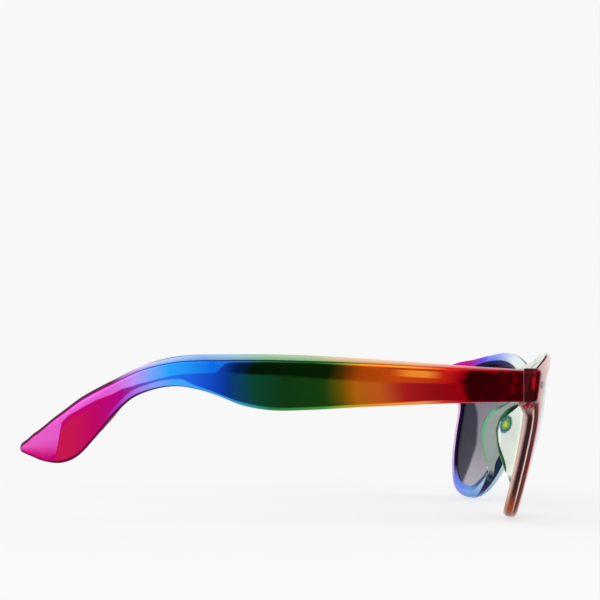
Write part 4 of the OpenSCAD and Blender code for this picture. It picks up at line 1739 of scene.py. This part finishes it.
@dataclass
class Stud:
    """Lozenge stud with a raised rim, on the face of an end piece."""

    shape: FrontShape
    side: Side
    width: float = 5.2
    height: float = 2.3
    inset: float = 6.2
    drop: float = 0.46
    arc_steps: int = 24
    # Share of the outline, and millimetres above the face.
    profile: Levels = (
        (1.0, -0.5), (1.0, 0.15), (0.96, 0.28), (0.9, 0.36), (0.82, 0.36), (0.76, 0.3), (0.7, 0.32),
        (0.5, 0.41), (0.25, 0.45), (0.02, 0.45),
    )

    def build(self, metal: Material) -> Piece:
        """Makes the stud and dresses it.

        Args:
            metal: Its material.

        Returns:
            The piece.
        """
        s = self.shape
        u0, v0 = s.end_u - self.inset, -s.end_drop - self.drop * s.end_h
        radius = ((self.width / 2) ** 2 + (self.height / 2) ** 2) / self.height
        half = math.asin(self.width / 2 / radius)
        arc = [math.pi / 2 + mix(-half, half, i / self.arc_steps) for i in range(self.arc_steps + 1)]
        upper = [(radius * math.cos(a), radius * math.sin(a) - radius + self.height / 2) for a in arc]
        lozenge = np.array(upper + [(-x, -y) for x, y in upper[1:-1]])
        rings = np.array([s.at(u0 + lozenge[:, 0] * share, v0 + lozenge[:, 1] * share, -rise)
                          for share, rise in self.profile])
        count, n = rings.shape[:2]
        faces = [ring_quad(i, j, count, n) for i in range(count - 1) for j in range(n)]
        faces += [list(range(n)), list(range((count - 1) * n, count * n))]
        points = s.to_row(rings.reshape(-1, 3), self.side.value)
        obj = new_object(f"{self.side.word}_stud_lozenge", points, faces)
        dress(obj, [metal])
        finish_mesh(obj, 35.0)
        return obj


@dataclass(frozen=True)
class Studio:
    """Camera, floor, lamps and background."""

    turn: float = 0.0692
    distance: float = 534.3
    focal_px: float = 1869.6
    side_px_mm: float = 82.05
    horizon_px: float = 354.5
    near_x: float = -71.0
    picture: int = 600
    sensor: float = 36.0
    white: Rgb = (0.939, 0.939, 0.939)
    sky: Rgb = (0.88, 0.88, 0.88)
    paper: Rgb = (0.86, 0.86, 0.86)
    floor_half: float = 6.0
    near_glow: float = 0.7
    glow_reach: Reach = (0.1, 0.34)
    # Name, place, target, size and power of each lamp.
    lamps: tuple[tuple[str, Key, Key, Reach, float], ...] = (
        ("key", (-1.6, 0.3, 0.9), (0, 0.06, 0), (2.0, 1.6), 12.0),
        ("front", (-0.4, -1.6, 0.9), (0, 0, 0), (1.8, 1.4), 5.0),
        ("back", (1.2, 1.1, 1.1), (0, 0.06, 0), (1.6, 1.6), 4.0),
    )

    def camera(self, shape: FrontShape) -> None:
        """Places the camera that was fitted to the photograph.

        Args:
            shape: Sizes of the front.
        """
        ahead = Vector((math.cos(self.turn), -math.sin(self.turn), 0))
        right = Vector((-math.sin(self.turn), -math.cos(self.turn), 0))
        origin = Vector((0, float(shape.origin[1]), float(shape.origin[2])))
        place = Vector((self.near_x, 0, 0)) - self.distance * ahead - self.side_px_mm * right - origin
        data = bpy.data.cameras.new("camera")
        data.sensor_width = self.sensor
        data.lens = self.focal_px / self.picture * self.sensor
        data.shift_y = (self.horizon_px - self.picture / 2) / self.picture
        data.clip_start = 0.01
        cam = bpy.data.objects.new("camera", data)
        cam.matrix_world = Matrix(((*right, 0), (0, 0, 1, 0), (*(-ahead), 0), (0, 0, 0, 1))).transposed()
        cam.location = place * MM
        bpy.context.scene.collection.objects.link(cam)
        bpy.context.scene.camera = cam

    def floor(self, low: float) -> None:
        """Lays a pale floor that keeps the shadow and runs into the background.

        Args:
            low: Its height, just under the lowest point.
        """
        corners = [(-1, -1), (1, -1), (1, 1), (-1, 1)]
        points = np.array([(x * self.floor_half, y * self.floor_half, low) for x, y in corners])
        obj = new_object("floor", points, [[0, 1, 2, 3]])
        g = MaterialGraph("floor_paper")
        away = g.node("ShaderNodeVectorMath", operation="LENGTH")
        g.put(g.place(), away.inputs[0])
        share = g.times(self.seen(g), g.span(away.outputs["Value"], *self.glow_reach, self.near_glow, 1.0))
        glow = g.node("ShaderNodeEmission")
        g.put(self.white, glow.inputs["Color"])
        both = g.node("ShaderNodeMixShader")
        for value, socket in zip((share, g.shader.outputs[0], glow.outputs[0]), both.inputs):
            g.put(value, socket)
        g.put(both.outputs[0], g.tree.nodes["Material Output"].inputs["Surface"])
        obj.data.materials.append(g.finish(Base_Color=self.paper, Roughness=0.95, Specular_IOR_Level=0.0))
        obj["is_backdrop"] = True

    def seen(self, g: Graph) -> Socket:
        """Adds a switch that is 1 where the background is looked at, mirrored or seen through something."""
        path = g.node("ShaderNodeLightPath").outputs
        return g.most(path["Is Camera Ray"], path["Is Transmission Ray"], path["Is Glossy Ray"])

    def lamp(self, name: str, place: Key, target: Key, size: Reach, power: float) -> None:
        """Adds one soft rectangular lamp.

        Args:
            name: Its name.
            place: Where it stands.
            target: What it points at.
            size: Its width and height.
            power: Its power in watts.
        """
        data = bpy.data.lights.new(name, "AREA")
        data.shape = "RECTANGLE"
        data.size, data.size_y = size
        data.energy = power
        obj = bpy.data.objects.new(name, data)
        obj.location = place
        obj.rotation_euler = (Vector(target) - Vector(place)).to_track_quat("-Z", "Y").to_euler()
        bpy.context.scene.collection.objects.link(obj)

    def world(self) -> None:
        """Sets a white background and plain surrounding light."""
        world = bpy.data.worlds.new("studio")
        world.use_nodes = True
        g = Graph(world.node_tree)
        g.put(g.blend(self.seen(g), self.sky, self.white), g.tree.nodes["Background"].inputs["Color"])
        bpy.context.scene.world = world

    def build(self, shape: FrontShape, low: float) -> None:
        """Sets up the whole studio.

        Args:
            shape: Sizes of the front.
            low: Height of the floor.
        """
        bpy.context.scene.view_settings.view_transform = "Standard"
        self.camera(shape)
        self.floor(low)
        self.world()
        for lamp in self.lamps:
            self.lamp(*lamp)


def main() -> None:
    """Builds the pieces in order and reports each one."""
    logging.basicConfig(level=logging.INFO, format="%(message)s")
    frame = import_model()
    cad_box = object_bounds()
    shape, hues, effects = FrontShape(), FrontHues(), Effects()
    # The pad side glows as painted light.
    pad_side = PadPlastic(hues, "pad_side", (243, 250, 239), (12, 78, 30), spotted=True, glow=0.28,
                          top_line=0.5, low_line=0.16)
    front = FrontMoulding(shape).build({
        Skin.COATED: FrontCoat(hues).build(effects),
        Skin.CLEAR: ClearBody(hues, "front_clear", specular=0.08).build(effects),
        Skin.INNER: ClearBody(hues, "front_inner", specular=0.0).build(effects),
        Skin.PAD: pad_side.build(effects),
        # The nose side is a darker copy of the pad plastic, as painted shade.
        Skin.NOSE: PadPlastic(hues, "pad_nose", (158, 170, 167), (96, 186, 130)).build(effects),
        Skin.END: EndPlastic(hues).build(effects)})
    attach(front, "front")
    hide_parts("front_frame")
    log.info("front moulding: %d faces", len(front.data.polygons))
    mirror, inside = LensMirror().build(effects), LensInside().build(effects)
    temple_coat, shoulder = TempleCoat().build(effects), ShoulderPlastic().build(effects)
    nickel = PlatedMetal("hinge_nickel", (196, 196, 200)).build(effects)
    steel = PlatedMetal("screw_steel", (206, 206, 210), roughness=0.12, grain=300.0).build(effects)
    # The stud's metal is darkened to stand for the dark reflections on it: painted reflection.
    bright = PlatedMetal("stud_bright", (150, 152, 158), roughness=0.1, grain=300.0).build(effects)
    for side in Side:
        lens = Lens(shape, side).build(mirror, inside)
        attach(lens, "front")
        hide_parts(f"{side.word}_lens")
        blade = Temple(shape, side).build(temple_coat, shoulder)
        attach(blade, f"{side.word}_temple")
        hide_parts(f"{side.word}_temple")
        stud = Stud(shape, side).build(bright)
        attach(stud, "front")
        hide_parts(f"{side.word}_stud")
        for node, metal in (("front_leaf", nickel), ("temple_leaf", nickel), ("hinge_screw", steel)):
            dress(frame["nodes"][f"{side.word}_{node}"], [metal])
        log.info("%s lens, temple, stud and hinge built", side.word)
    Studio().build(shape, cad_box[0][2] - 0.0005)


if __name__ == "__main__":
    main()
